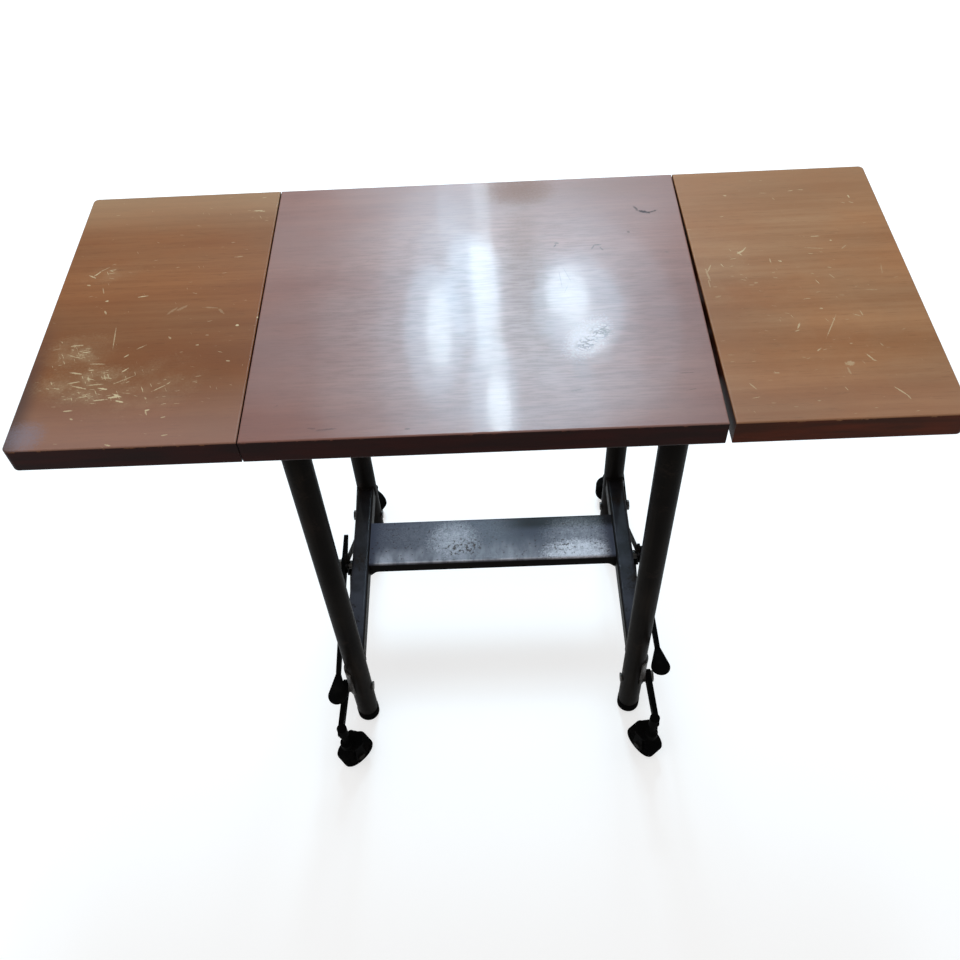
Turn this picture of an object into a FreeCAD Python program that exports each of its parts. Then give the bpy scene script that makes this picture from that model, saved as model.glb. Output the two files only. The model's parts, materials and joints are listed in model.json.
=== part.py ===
"""Rolling drop-leaf typewriter table.

A wooden top in three panels stands on four steel tubes with rubber feet. Two channel rails and a
pressed shelf tie the tubes together. A cross shaft under the shelf, turned by a foot pedal on
each side, drives four bell-crank arms that lower swivel casters below the feet.

Millimetres. X runs to the right, the front is at -Y, Z is up, and the origin is on the floor
under the middle of the table.
"""
import FreeCAD, Part
import math
import os
import Sketcher

SIZES = {
    # wooden top
    "top_height": 667.0,
    "overall_width": 901.0,
    "panel_width": 457.0,
    "panel_depth": 390.0,
    "panel_thick": 30.5,
    "left_seam": 1.0,
    "right_seam_rear": 1.0,
    "right_seam_front": 6.0,
    "top_arris": 1.5,
    "lower_round": 4.0,
    "leaf_corner": 6.0,
    # butt hinges under the seams
    "hinge_spacing": 150.0,
    "hinge_length": 60.0,
    "hinge_plate_width": 27.0,
    "hinge_plate_thick": 1.6,
    "knuckle_radius": 3.4,
    "knuckle_drop": 3.8,
    "knuckle_gap": 0.3,
    "knuckle_relief": 0.8,
    "hinge_pin_radius": 1.9,
    # screws under the top
    "screw_head_radius": 3.6,
    "screw_head_height": 1.8,
    "screw_shank_radius": 1.9,
    # folding leaf supports
    "support_offset": 14.0,
    "support_length": 128.0,
    "support_width": 14.0,
    "support_hub_radius": 9.0,
    "support_tip_depth": 8.0,
    "support_pin_radius": 3.0,
    "support_ear_thick": 2.5,
    "support_base_length": 44.0,
    "support_base_thick": 3.0,
    # legs, flanges and feet
    "leg_side_inset": 37.0,
    "leg_end_inset": 43.5,
    "leg_radius": 15.0,
    "leg_wall": 1.8,
    "flange_radius": 31.0,
    "flange_thick": 3.0,
    "flange_screw_circle": 24.0,
    "foot_radius": 15.6,
    "foot_height": 20.0,
    "foot_plug": 18.0,
    "foot_round": 5.0,
    # side rails and shelf
    "rail_top_height": 167.0,
    "rail_width": 25.0,
    "rail_depth": 25.0,
    "rail_wall": 2.5,
    "rail_corner": 4.0,
    "shelf_front": -2.0,
    "shelf_depth": 76.0,
    "shelf_thick": 1.8,
    "shelf_bend": 4.0,
    "shelf_flange": 19.0,
    "gusset": 9.0,
    # cross shaft, cranks and pedal levers
    "shaft_inset": 9.0,
    "shaft_drop": 11.0,
    "shaft_radius": 5.0,
    "spacer_radius": 6.3,
    "side_gap": 0.4,
    "crank_radius": 16.0,
    "crank_eye": 6.5,
    "crank_thick": 3.0,
    "link_pin_radius": 2.5,
    "link_clearance": 0.5,
    "link_thick": 3.0,
    "link_eye": 5.5,
    "link_bar": 4.5,
    "lever_thick": 6.0,
    "lever_hub_radius": 12.0,
    "lever_neck_radius": 4.5,
    "lever_neck_reach": 166.0,
    "pedal_reach": 198.0,
    "pedal_radius": 12.5,
    "pedal_thick": 4.0,
    "pedal_round": 1.2,
    "tail_reach": 50.0,
    "tail_tip_radius": 2.5,
    "left_lever_angle": -6.8,
    "right_lever_angle": 7.7,
    "nut_radius": 8.5,
    "nut_height": 5.0,
    # caster arms on their leg brackets
    "saddle_thick": 2.5,
    "saddle_angle": 120.0,
    "saddle_gap": 0.5,
    "saddle_rise": 1.0,
    "arm_pivot_height": 83.0,
    "bracket_boss_radius": 8.0,
    "arm_thick": 7.0,
    "arm_hub_radius": 10.0,
    "arm_pin_radius": 5.0,
    "arm_reach": 75.5,
    "arm_rise": 16.5,
    "arm_tip_radius": 6.5,
    "horn_eye": 6.0,
    "front_horn": 17.0,
    "rear_horn": 14.3,
    "horn_slope": 60.0,
    "bolt_head_radius": 8.0,
    "bolt_head_height": 3.5,
    # swivel casters
    "stem_offset": -2.4,
    "socket_radius": 6.8,
    "socket_height": 20.0,
    "stem_radius": 4.0,
    "stem_cap_radius": 6.0,
    "stem_cap_height": 3.0,
    "raceway_radius": 8.5,
    "raceway_height": 8.0,
    "caster_trail": 9.0,
    "crown_thick": 3.0,
    "crown_bridge": 20.0,
    "crown_round": 4.5,
    "cheek_thick": 2.0,
    "cheek_radius": 8.5,
    "wheel_radius": 24.5,
    "wheel_width": 24.0,
    "wheel_crown": 4.0,
    "hub_dish": 2.0,
    "wheel_side_gap": 0.5,
    "wheel_top_gap": 2.5,
    "wheel_clearance": 2.5,
    "axle_radius": 3.0,
    "axle_head_radius": 5.0,
    "axle_head_height": 2.0,
    # fits
    "running_fit": 0.08,
    "open_pivot_play": 0.3,
    "support_gap": 0.3,
}

# The way each caster trails when the table is at rest, in degrees from +X.
SWIVEL_ANGLES = {"front_left": 42.0, "front_right": 128.0, "rear_left": -30.0, "rear_right": 171.0}

SIDES = {"left": -1, "right": 1}
ENDS = {"front": -1, "rear": 1}

X_AXIS = FreeCAD.Vector(1, 0, 0)
Y_AXIS = FreeCAD.Vector(0, 1, 0)
Z_AXIS = FreeCAD.Vector(0, 0, 1)
UPRIGHT = FreeCAD.Rotation()
ALONG_X = FreeCAD.Rotation(Y_AXIS, 90)
ALONG_Y = FreeCAD.Rotation(X_AXIS, -90)
FULL_TURN = 360.0
SMALL = 1e-6


class Size:
    """A length that carries both its number and the sheet formula that gives it."""

    def __init__(self, value, formula):
        self.value = float(value)
        self.formula = formula

    def _with(self, other, sign, value):
        other_formula = other.formula if isinstance(other, Size) else repr(float(other))
        return Size(value, "(" + self.formula + " " + sign + " " + other_formula + ")")

    def __add__(self, other):
        return self._with(other, "+", self.value + number(other))

    def __sub__(self, other):
        return self._with(other, "-", self.value - number(other))

    def __mul__(self, other):
        return self._with(other, "*", self.value * number(other))

    def __truediv__(self, other):
        return self._with(other, "/", self.value / number(other))

    def __neg__(self):
        return self * -1


def number(size):
    """Give the plain number of a Size or of a number."""
    return size.value if isinstance(size, Size) else float(size)


def fixed(value):
    """Make a Size out of a plain number, such as the zero on an axis."""
    return value if isinstance(value, Size) else Size(value, repr(float(value)))


doc = FreeCAD.newDocument("TypewriterTable")
sheet = doc.addObject("Spreadsheet::Sheet", "dims")
for row, (alias, value) in enumerate(SIZES.items(), start=1):
    sheet.set("A%d" % row, alias)
    sheet.set("B%d" % row, str(value))
    sheet.setAlias("B%d" % row, alias)
doc.recompute()
d = {alias: Size(value, "dims." + alias) for alias, value in SIZES.items()}
nodes = []


# ---------------------------------------------------------------- building blocks


def bind(feature, path, size):
    """Drive one property of a feature from the sheet."""
    feature.setExpression(path, fixed(size).formula)


def place(feature, at, turn=UPRIGHT):
    """Turn a feature and put its origin at a point whose coordinates follow the sheet."""
    base = FreeCAD.Vector(*[number(c) for c in at])
    feature.Placement = FreeCAD.Placement(base, turn)
    for letter, coordinate in zip("xyz", at):
        bind(feature, "Placement.Base." + letter, coordinate)
    return feature


def frame_turn(direction, normal):
    """Give the rotation that lays local x along a direction and local z along a normal."""
    side = normal.cross(direction)
    return FreeCAD.Rotation(direction, side, normal, "ZXY")


def cylinder(name, radius, height, at, turn=UPRIGHT, sweep=FULL_TURN):
    """Make a cylinder, or a sector of one."""
    obj = doc.addObject("Part::Cylinder", name)
    bind(obj, "Radius", radius)
    bind(obj, "Height", height)
    obj.Angle = number(sweep)
    return place(obj, at, turn)


def box(name, length, width, height, at, turn=UPRIGHT):
    """Make a block from its lowest corner."""
    obj = doc.addObject("Part::Box", name)
    bind(obj, "Length", length)
    bind(obj, "Width", width)
    bind(obj, "Height", height)
    return place(obj, at, turn)


def side_cylinder(name, radius, inner, outer, side, y, z):
    """Make a cylinder along X between two distances from the middle of the table."""
    start = inner if side > 0 else -outer
    return cylinder(name, radius, outer - inner, (start, y, z), ALONG_X)


def fuse(name, parts):
    """Join touching or overlapping shapes into one solid."""
    obj = doc.addObject("Part::MultiFuse", name)
    obj.Shapes = parts
    obj.Refine = True
    return obj


def group(name, parts):
    """Keep several separate solids together."""
    obj = doc.addObject("Part::Compound", name)
    obj.Links = parts
    return obj


def cut(name, base, tools):
    """Remove one or more tools from a base."""
    tool = tools[0] if len(tools) == 1 else fuse(name + "_tools", tools)
    obj = doc.addObject("Part::Cut", name)
    obj.Base = base
    obj.Tool = tool
    obj.Refine = True
    return obj


def keep(obj, label):
    """Name a finished sub-part and list it for export."""
    obj.Label = label
    nodes.append(obj)
    return obj


def new_sketch(name, role):
    """Start a body with an empty sketch on one of its own origin planes."""
    body = doc.addObject("PartDesign::Body", name)
    sketch = body.newObject("Sketcher::SketchObject", name + "_sketch")
    plane = next(f for f in body.Origin.OriginFeatures if f.Role == role)
    sketch.AttachmentSupport = [(plane, "")]
    sketch.MapMode = "FlatFace"
    return body, sketch


def pin_point(sketch, geometry, point, position):
    """Hold one sketch point at its distances from the sketch's origin."""
    axes = (("DistanceX", -2), ("DistanceY", -1))
    for (kind, zero_axis), coordinate in zip(axes, position):
        coordinate = fixed(coordinate)
        if abs(coordinate.value) < SMALL:
            sketch.addConstraint(Sketcher.Constraint("PointOnObject", geometry, point, zero_axis))
            continue
        if coordinate.value > 0:
            constraint = Sketcher.Constraint(kind, -1, 1, geometry, point, coordinate.value)
            formula = coordinate.formula
        else:
            constraint = Sketcher.Constraint(kind, geometry, point, -1, 1, -coordinate.value)
            formula = (-coordinate).formula
        index = sketch.addConstraint(constraint)
        sketch.setExpression("Constraints[%d]" % index, formula)


def draw_outline(sketch, corners):
    """Draw a closed outline of straight edges through corners that follow the sheet."""
    points = [FreeCAD.Vector(number(u), number(v), 0) for u, v in corners]
    count = len(points)
    for i in range(count):
        sketch.addGeometry(Part.LineSegment(points[i], points[(i + 1) % count]), False)
    for i in range(count):
        sketch.addConstraint(Sketcher.Constraint("Coincident", i, 2, (i + 1) % count, 1))
    for i, corner in enumerate(corners):
        pin_point(sketch, i, 1, corner)


def pad(body, sketch, thickness):
    """Extrude a sketch to both sides of its plane."""
    feature = body.newObject("PartDesign::Pad", body.Name + "_pad")
    feature.Profile = sketch
    feature.Midplane = True
    bind(feature, "Length", thickness)
    doc.recompute()
    return feature


def plate(name, role, corners, thickness):
    """Make a plate with a straight-edged outline, centred on its plane."""
    body, sketch = new_sketch(name, role)
    draw_outline(sketch, corners)
    pad(body, sketch, thickness)
    return body


def round_edges(body, name, radius, wanted):
    """Fillet the edges of a body's tip that a test picks."""
    base = body.Tip
    picked = ["Edge%d" % (i + 1) for i, edge in enumerate(base.Shape.Edges) if wanted(edge)]
    feature = body.newObject("PartDesign::Fillet", name)
    feature.Base = (base, picked)
    bind(feature, "Radius", radius)
    doc.recompute()
    return feature


def turned(name, profile):
    """Turn a closed profile of radius and height points about the vertical axis."""
    body, sketch = new_sketch(name, "XZ_Plane")
    draw_outline(sketch, profile)
    feature = body.newObject("PartDesign::Revolution", name + "_turn")
    feature.Profile = sketch
    feature.ReferenceAxis = (sketch, ["V_Axis"])
    feature.Angle = FULL_TURN
    return body


def tapered_bar(name, radius_a, radius_b, length, thickness):
    """Make a flat bar whose two round ends are joined by their common tangents.

    The first end is centred on the local origin and the second lies along local x.
    """
    body, sketch = new_sketch(name, "XY_Plane")
    ra, rb, run = number(radius_a), number(radius_b), number(length)
    lean = math.acos((ra - rb) / run)
    far = FreeCAD.Vector(run, 0, 0)
    near_end = Part.ArcOfCircle(Part.Circle(FreeCAD.Vector(), Z_AXIS, ra), lean, 2 * math.pi - lean)
    far_end = Part.ArcOfCircle(Part.Circle(far, Z_AXIS, rb), -lean, lean)
    upper = FreeCAD.Vector(math.cos(lean), math.sin(lean), 0)
    lower = FreeCAD.Vector(math.cos(lean), -math.sin(lean), 0)
    sketch.addGeometry(near_end, False)
    sketch.addGeometry(far_end, False)
    sketch.addGeometry(Part.LineSegment(upper * ra, far + upper * rb), False)
    sketch.addGeometry(Part.LineSegment(far + lower * rb, lower * ra), False)
    for line, line_end, arc, arc_end in ((2, 1, 0, 1), (2, 2, 1, 2), (3, 1, 1, 1), (3, 2, 0, 2)):
        sketch.addConstraint(Sketcher.Constraint("Tangent", line, line_end, arc, arc_end))
    sketch.addConstraint(Sketcher.Constraint("Coincident", 0, 3, -1, 1))
    pin_point(sketch, 1, 3, (fixed(length), 0))
    for arc, radius in ((0, radius_a), (1, radius_b)):
        index = sketch.addConstraint(Sketcher.Constraint("Radius", arc, number(radius)))
        sketch.setExpression("Constraints[%d]" % index, fixed(radius).formula)
    pad(body, sketch, thickness)
    return body


def side_bar(name, radius_a, radius_b, thickness, x, start, end):
    """Make a tapered bar standing in a plane of constant X, from one (Y, Z) point to another."""
    run = FreeCAD.Vector(0, number(end[0]) - number(start[0]), number(end[1]) - number(start[1]))
    body = tapered_bar(name, radius_a, radius_b, run.Length, thickness)
    return place(body, (x, start[0], start[1]), frame_turn(run.normalize(), X_AXIS))


# ---------------------------------------------------------------- shared places

half_panel = d["panel_width"] / 2
half_depth = d["panel_depth"] / 2
half_width = d["overall_width"] / 2
underside = d["top_height"] - d["panel_thick"]
hinge_axis_z = underside - d["knuckle_drop"]
hinge_axis_x = {
    "left": half_panel + d["left_seam"] / 2,
    "right": half_panel + d["right_seam_front"] / 2,
}
leg_x = d["panel_width"] / 2 - d["leg_side_inset"]
leg_y = d["panel_depth"] / 2 - d["leg_end_inset"]
rail_outer = leg_x + d["rail_width"] / 2
rail_inner = leg_x - d["rail_width"] / 2
shaft_y = d["shelf_front"] + d["shaft_inset"]
shaft_z = d["rail_top_height"] - d["shaft_drop"]
link_inner = leg_x + d["leg_radius"] + d["link_clearance"]
link_outer = link_inner + d["link_thick"]
crank_inner = link_outer + d["side_gap"]
crank_outer = crank_inner + d["crank_thick"]
lever_outer = crank_outer + d["lever_thick"]
lever_x = crank_outer + d["lever_thick"] / 2
arm_inner = link_outer + d["side_gap"]
arm_outer = arm_inner + d["arm_thick"]
arm_x = arm_inner + d["arm_thick"] / 2
stem_x = arm_x + d["stem_offset"]
stem_y = leg_y + d["arm_reach"]
arm_tip_z = d["arm_pivot_height"] + d["arm_rise"]
saddle_top = d["rail_top_height"] - d["rail_depth"] - d["saddle_gap"]
saddle_bottom = d["arm_pivot_height"] + d["saddle_rise"]


# ---------------------------------------------------------------- wooden top


def soften_panel(body):
    """Break the upper arrises lightly and round the lower ones, all the way round."""
    top = number(d["panel_thick"]) / 2

    def at_height(height):
        return lambda edge: all(abs(v.Point.z - height) < SMALL for v in edge.Vertexes)

    round_edges(body, body.Name + "_arris", d["top_arris"], at_height(top))
    round_edges(body, body.Name + "_lower", d["lower_round"], at_height(-top))


def panel(name, corners):
    """Make one board of the top, with its upper face at the height of the writing surface."""
    body = plate(name, "XY_Plane", corners, d["panel_thick"])
    return place(body, (0, 0, d["top_height"] - d["panel_thick"] / 2))


def center_panel():
    """Make the fixed board between the two seams."""
    corners = [
        (-half_panel, -half_depth),
        (half_panel, -half_depth),
        (half_panel, half_depth),
        (-half_panel, half_depth),
    ]
    body = panel("CenterPanel", corners)
    soften_panel(body)
    keep(body, "center_panel")


def leaf(side_name):
    """Make one drop leaf; the right one's inner edge runs off the seam towards the front."""
    side = SIDES[side_name]
    if side_name == "left":
        rear_seam = front_seam = d["left_seam"]
    else:
        rear_seam = d["right_seam_rear"]
        front_seam = d["right_seam_front"]
    corners = [
        ((half_panel + front_seam) * side, -half_depth),
        (half_width * side, -half_depth),
        (half_width * side, half_depth),
        ((half_panel + rear_seam) * side, half_depth),
    ]
    body = panel(side_name.capitalize() + "Leaf", corners)
    outer = number(half_width) - SMALL

    def outer_corner(edge):
        upright = abs(edge.Vertexes[0].Z - edge.Vertexes[-1].Z) > SMALL
        return upright and abs(edge.Vertexes[0].X) > outer

    round_edges(body, body.Name + "_corners", d["leaf_corner"], outer_corner)
    soften_panel(body)
    keep(body, side_name + "_leaf")


# ---------------------------------------------------------------- hinges


def screw(name, at, grip):
    """Make one round-headed screw; its head hangs below the plate, whose thickness is the grip."""
    x, y, z = at
    head = cylinder(name + "_head", d["screw_head_radius"], d["screw_head_height"],
                    (x, y, z - d["screw_head_height"]))
    shank = cylinder(name + "_shank", d["screw_shank_radius"], grip, (x, y, z))
    return fuse(name, [head, shank])


def hinge_screw_places(side_name, part, y):
    """Give the screw positions on one hinge plate."""
    side = SIDES[side_name]
    reach = (d["knuckle_radius"] + d["knuckle_relief"] + d["hinge_plate_width"]) / 2
    x = (hinge_axis_x[side_name] + reach * part) * side
    z = hinge_axis_z + d["knuckle_drop"] - d["hinge_plate_thick"]
    third = d["hinge_length"] / 3
    return [(x, y - third, z), (x, y + third, z)]


def hinge_plate(side_name, part, y):
    """Make one hinge plate with its knuckles; part is -1 on the panel and +1 on the leaf."""
    side = SIDES[side_name]
    tag = "%s_%s_%d" % (side_name, "fixed" if part < 0 else "leaf", 1 if number(y) > 0 else 0)
    axis_x = hinge_axis_x[side_name] * side
    third = d["hinge_length"] / 3
    half_gap = d["knuckle_gap"] / 2
    bottom = hinge_axis_z + d["knuckle_drop"] - d["hinge_plate_thick"]
    outward = side * part
    width = d["hinge_plate_width"]
    start_x = axis_x if outward > 0 else axis_x - width
    low_y = y - d["hinge_length"] / 2
    flat = box("flat_" + tag, width, d["hinge_length"], d["hinge_plate_thick"],
               (start_x, low_y, bottom))
    if part < 0:
        spans = [(low_y, third - half_gap), (low_y + third * 2 + half_gap, third - half_gap)]
        reliefs = [(low_y + third - half_gap, third + half_gap * 2)]
    else:
        spans = [(low_y + third + half_gap, third - half_gap * 2)]
        reliefs = [(low_y - half_gap, third + half_gap * 2),
                   (low_y + third * 2 - half_gap, third + half_gap * 2)]
    knuckles = [cylinder("knuckle_%s_%d" % (tag, i), d["knuckle_radius"], length,
                         (axis_x, start, hinge_axis_z), ALONG_Y)
                for i, (start, length) in enumerate(spans)]
    depth = d["knuckle_radius"] + d["knuckle_relief"]
    relief_x = axis_x if outward > 0 else axis_x - depth
    cuts = [box("relief_%s_%d" % (tag, i), depth, length, d["hinge_plate_thick"],
                (relief_x, start, bottom))
            for i, (start, length) in enumerate(reliefs)]
    bore = d["hinge_pin_radius"] if part < 0 else d["hinge_pin_radius"] + d["running_fit"]
    holes = [cylinder("bore_" + tag, bore, d["hinge_length"], (axis_x, low_y, hinge_axis_z), ALONG_Y)]
    for i, at in enumerate(hinge_screw_places(side_name, part, y)):
        holes.append(cylinder("hole_%s_%d" % (tag, i), d["screw_shank_radius"],
                              d["hinge_plate_thick"], at))
    notched = cut("notched_" + tag, flat, cuts)
    return cut("hinge_" + tag, fuse("blank_" + tag, [notched] + knuckles), holes)


def seam_hinges(side_name):
    """Make the two hinges of one seam, their pins and their screws."""
    places = [d["hinge_spacing"] / 2 * end for end in ENDS.values()]
    for part, words in ((-1, "fixed"), (1, "leaf")):
        plates = [hinge_plate(side_name, part, y) for y in places]
        keep(group("%s_%s_plates" % (side_name, words), plates),
             "%s_hinge_%s_plates" % (side_name, words))
    axis_x = hinge_axis_x[side_name] * SIDES[side_name]
    pins = [cylinder("%s_hinge_pin_%d" % (side_name, i), d["hinge_pin_radius"], d["hinge_length"],
                     (axis_x, y - d["hinge_length"] / 2, hinge_axis_z), ALONG_Y)
            for i, y in enumerate(places)]
    keep(group(side_name + "_pins", pins), side_name + "_hinge_pins")
    leaf_screws = [screw("%s_leaf_screw_%d_%d" % (side_name, i, j), at, d["hinge_plate_thick"])
                   for i, y in enumerate(places)
                   for j, at in enumerate(hinge_screw_places(side_name, 1, y))]
    keep(group(side_name + "_screws", leaf_screws), side_name + "_leaf_hinge_screws")
    return [screw("%s_panel_screw_%d_%d" % (side_name, i, j), at, d["hinge_plate_thick"])
            for i, y in enumerate(places)
            for j, at in enumerate(hinge_screw_places(side_name, -1, y))]


# ---------------------------------------------------------------- leaf supports


def support_pivot(side_name):
    """Give the distance from the middle and the height of a leaf support's pivot."""
    return hinge_axis_x[side_name] - d["support_offset"], hinge_axis_z - d["support_offset"]


def leaf_support(side_name):
    """Make the arm that carries a raised leaf and folds down with it."""
    side = SIDES[side_name]
    pivot_x, pivot_z = support_pivot(side_name)
    top = d["support_offset"] + d["knuckle_drop"] - d["support_gap"]
    corners = [
        (fixed(0), top),
        (d["support_length"] * side, top),
        (d["support_length"] * side, top - d["support_tip_depth"]),
        (fixed(0), -d["support_hub_radius"]),
    ]
    web = plate(side_name.capitalize() + "SupportWeb", "XZ_Plane", corners, d["support_width"])
    place(web, (pivot_x * side, fixed(0), pivot_z))
    half_width_y = d["support_width"] / 2
    hub = cylinder(side_name + "_support_hub", d["support_hub_radius"], d["support_width"],
                   (pivot_x * side, -half_width_y, pivot_z), ALONG_Y)
    bore = cylinder(side_name + "_support_bore", d["support_pin_radius"] + d["running_fit"],
                    d["support_width"], (pivot_x * side, -half_width_y, pivot_z), ALONG_Y)
    blank = fuse(side_name + "_support_blank", [web, hub])
    keep(cut(side_name + "_support_cut", blank, [bore]), side_name + "_leaf_support")


def support_bracket(side_name):
    """Make the forked bracket under the panel that a leaf support turns in."""
    side = SIDES[side_name]
    pivot_x, pivot_z = support_pivot(side_name)
    inner_y = d["support_width"] / 2 + d["support_gap"]
    outer_y = inner_y + d["support_ear_thick"]
    drop = underside - pivot_z
    base_end = d["support_gap"] * 4
    start = pivot_x * side - base_end - d["support_base_length"] if side > 0 \
        else pivot_x * side + base_end
    base = box(side_name + "_bracket_base", d["support_base_length"], outer_y * 2,
               d["support_base_thick"], (start, -outer_y, underside - d["support_base_thick"]))
    ears = []
    reach = d["support_base_length"] * -side
    hub = d["support_hub_radius"]
    for end_name, end in ENDS.items():
        corners = [
            (hub * side, drop),
            (reach, drop),
            (reach, drop - d["support_base_thick"] * 2),
            (-hub * side, -hub / 2),
            (fixed(0), -hub),
            (hub * side, -hub / 2),
        ]
        ear = plate("%s%sEar" % (side_name.capitalize(), end_name.capitalize()), "XZ_Plane",
                    corners, d["support_ear_thick"])
        middle = (inner_y + d["support_ear_thick"] / 2) * end
        ears.append(place(ear, (pivot_x * side, middle, pivot_z)))
    blank = fuse(side_name + "_bracket_blank", [base] + ears)
    bore = cylinder(side_name + "_bracket_bore", d["support_pin_radius"], outer_y * 2,
                    (pivot_x * side, -outer_y, pivot_z), ALONG_Y)
    keep(cut(side_name + "_bracket_cut", blank, [bore]), side_name + "_support_bracket")
    pin = cylinder(side_name + "_support_pin", d["support_pin_radius"], outer_y * 2,
                   (pivot_x * side, -outer_y, pivot_z), ALONG_Y)
    heads = [cylinder("%s_%s_pin_head" % (side_name, end_name), d["support_pin_radius"] * 1.6,
                      d["support_pin_radius"] / 2,
                      (pivot_x * side, outer_y if end > 0 else -outer_y - d["support_pin_radius"] / 2,
                       pivot_z), ALONG_Y)
             for end_name, end in ENDS.items()]
    return fuse(side_name + "_support_pin_solid", [pin] + heads)


# ---------------------------------------------------------------- legs and feet


def corner_name(end_name, side_name):
    """Name one corner of the table."""
    return end_name + "_" + side_name


def corners_of_table():
    """List each corner's name, side sign and end sign."""
    return [(corner_name(end_name, side_name), side, end)
            for end_name, end in ENDS.items() for side_name, side in SIDES.items()]


def leg(name, side, end):
    """Make one tube leg, with the cross hole for its caster bolt."""
    x, y = leg_x * side, leg_y * end
    length = underside - d["flange_thick"] - d["foot_height"]
    outer = cylinder(name + "_tube", d["leg_radius"], length, (x, y, d["foot_height"]))
    inner = cylinder(name + "_hollow", d["leg_radius"] - d["leg_wall"], length,
                     (x, y, d["foot_height"]))
    cross = side_cylinder(name + "_cross_hole", d["arm_pin_radius"],
                          leg_x - d["leg_radius"], leg_x + d["leg_radius"],
                          side, y, d["arm_pivot_height"])
    keep(cut(name + "_leg_cut", outer, [inner, cross]), name + "_leg")


def rubber_foot(name, side, end):
    """Make one rubber foot: a round pad that the tube stands on, with a plug up inside it."""
    plug = d["leg_radius"] - d["leg_wall"]
    profile = [
        (fixed(0), fixed(0)),
        (d["foot_radius"], fixed(0)),
        (d["foot_radius"], d["foot_height"]),
        (plug, d["foot_height"]),
        (plug, d["foot_height"] + d["foot_plug"]),
        (fixed(0), d["foot_height"] + d["foot_plug"]),
    ]
    foot = turned(name + "_foot", profile)
    doc.recompute()
    limit = number(d["foot_radius"])

    def lower_rim(edge):
        return edge.BoundBox.ZMax < SMALL and abs(edge.BoundBox.XMax - limit) < 0.01

    round_edges(foot, name + "_foot_round", d["foot_round"], lower_rim)
    return place(foot, (leg_x * side, leg_y * end, fixed(0)))


def flange_with_screws(name, side, end):
    """Make the round plate on top of one leg and its three screws."""
    x, y = leg_x * side, leg_y * end
    z = underside - d["flange_thick"]
    disc = cylinder(name + "_flange_disc", d["flange_radius"], d["flange_thick"], (x, y, z))
    holes, screws = [], []
    for i in range(3):
        angle = math.radians(FULL_TURN / 3 * i + FULL_TURN / 12)
        at = (x + d["flange_screw_circle"] * (math.cos(angle) * side),
              y + d["flange_screw_circle"] * (math.sin(angle) * end), z)
        holes.append(cylinder("%s_flange_hole_%d" % (name, i), d["screw_shank_radius"],
                              d["flange_thick"], at))
        screws.append(screw("%s_flange_screw_%d" % (name, i), at, d["flange_thick"]))
    return cut(name + "_flange", disc, holes), screws


# ---------------------------------------------------------------- rails and shelf


def side_rail(side_name):
    """Make the inverted channel that joins the front and rear legs of one side."""
    side = SIDES[side_name]
    half, wall, depth = d["rail_width"] / 2, d["rail_wall"], d["rail_depth"]
    corners = [
        (-half, fixed(0)), (half, fixed(0)), (half, -depth), (half - wall, -depth),
        (half - wall, -wall), (wall - half, -wall), (wall - half, -depth), (-half, -depth),
    ]
    body = plate(side_name.capitalize() + "Rail", "XZ_Plane", corners, leg_y * 2)

    def top_corner(edge):
        points = [v.Point for v in edge.Vertexes]
        along = abs(points[0].y - points[-1].y) > SMALL
        return along and abs(points[0].z) < SMALL

    round_edges(body, body.Name + "_bend", d["rail_corner"], top_corner)
    x = leg_x * side
    place(body, (x, fixed(0), d["rail_top_height"]))
    copes = [cylinder("%s_cope_%s" % (side_name, end_name), d["leg_radius"], depth,
                      (x, leg_y * end, d["rail_top_height"] - depth))
             for end_name, end in ENDS.items()]
    bearing = side_cylinder(side_name + "_shaft_hole", d["shaft_radius"] + d["running_fit"],
                            rail_inner, rail_outer, side, shaft_y, shaft_z)
    keep(cut(side_name + "_rail_cut", body, copes + [bearing]), side_name + "_side_rail")


def shelf():
    """Make the pressed shelf: a flat top, a flange front and rear, and a gusset at each corner."""
    t = d["shelf_thick"]
    depth = d["shelf_depth"]
    section = [
        (fixed(0), fixed(0)), (depth, fixed(0)), (depth, -d["shelf_flange"]),
        (depth - t, -d["shelf_flange"]), (depth - t, -t), (t, -t), (t, -d["shelf_flange"]),
        (fixed(0), -d["shelf_flange"]),
    ]
    tray = plate("ShelfTray", "YZ_Plane", section, rail_inner * 2)

    def outer_bend(edge):
        points = [v.Point for v in edge.Vertexes]
        across = abs(points[0].x - points[-1].x) > SMALL
        return across and abs(points[0].z) < SMALL

    round_edges(tray, "ShelfTray_bend", d["shelf_bend"], outer_bend)
    place(tray, (fixed(0), d["shelf_front"], d["rail_top_height"]))
    drop = d["shelf_flange"] - d["shelf_bend"]
    parts = [tray]
    for end_name, y in (("front", d["shelf_front"] + t / 2),
                        ("rear", d["shelf_front"] + depth - t / 2)):
        for side_name, side in SIDES.items():
            corners = [
                (fixed(0), fixed(0)),
                (-d["gusset"] * 2 * side, fixed(0)),
                (-d["gusset"] * 2 * side, -drop),
                (-d["gusset"] * side, -drop),
                (fixed(0), -drop - d["gusset"]),
            ]
            name = "Gusset%s%s" % (end_name.capitalize(), side_name.capitalize())
            ear = plate(name, "XZ_Plane", corners, t)
            corner = (number(d["gusset"]), number(drop))

            def concave(edge, corner=corner):
                p, q = edge.Vertexes[0].Point, edge.Vertexes[-1].Point
                through = abs(p.y - q.y) > SMALL
                return through and abs(abs(p.x) - corner[0]) < SMALL and abs(p.z + corner[1]) < SMALL

            round_edges(ear, name + "_round", d["gusset"], concave)
            parts.append(place(ear, (rail_inner * side, y, d["rail_top_height"] - d["shelf_bend"])))
    keep(fuse("shelf_solid", parts), "shelf")


# ---------------------------------------------------------------- cross shaft and pedals


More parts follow.
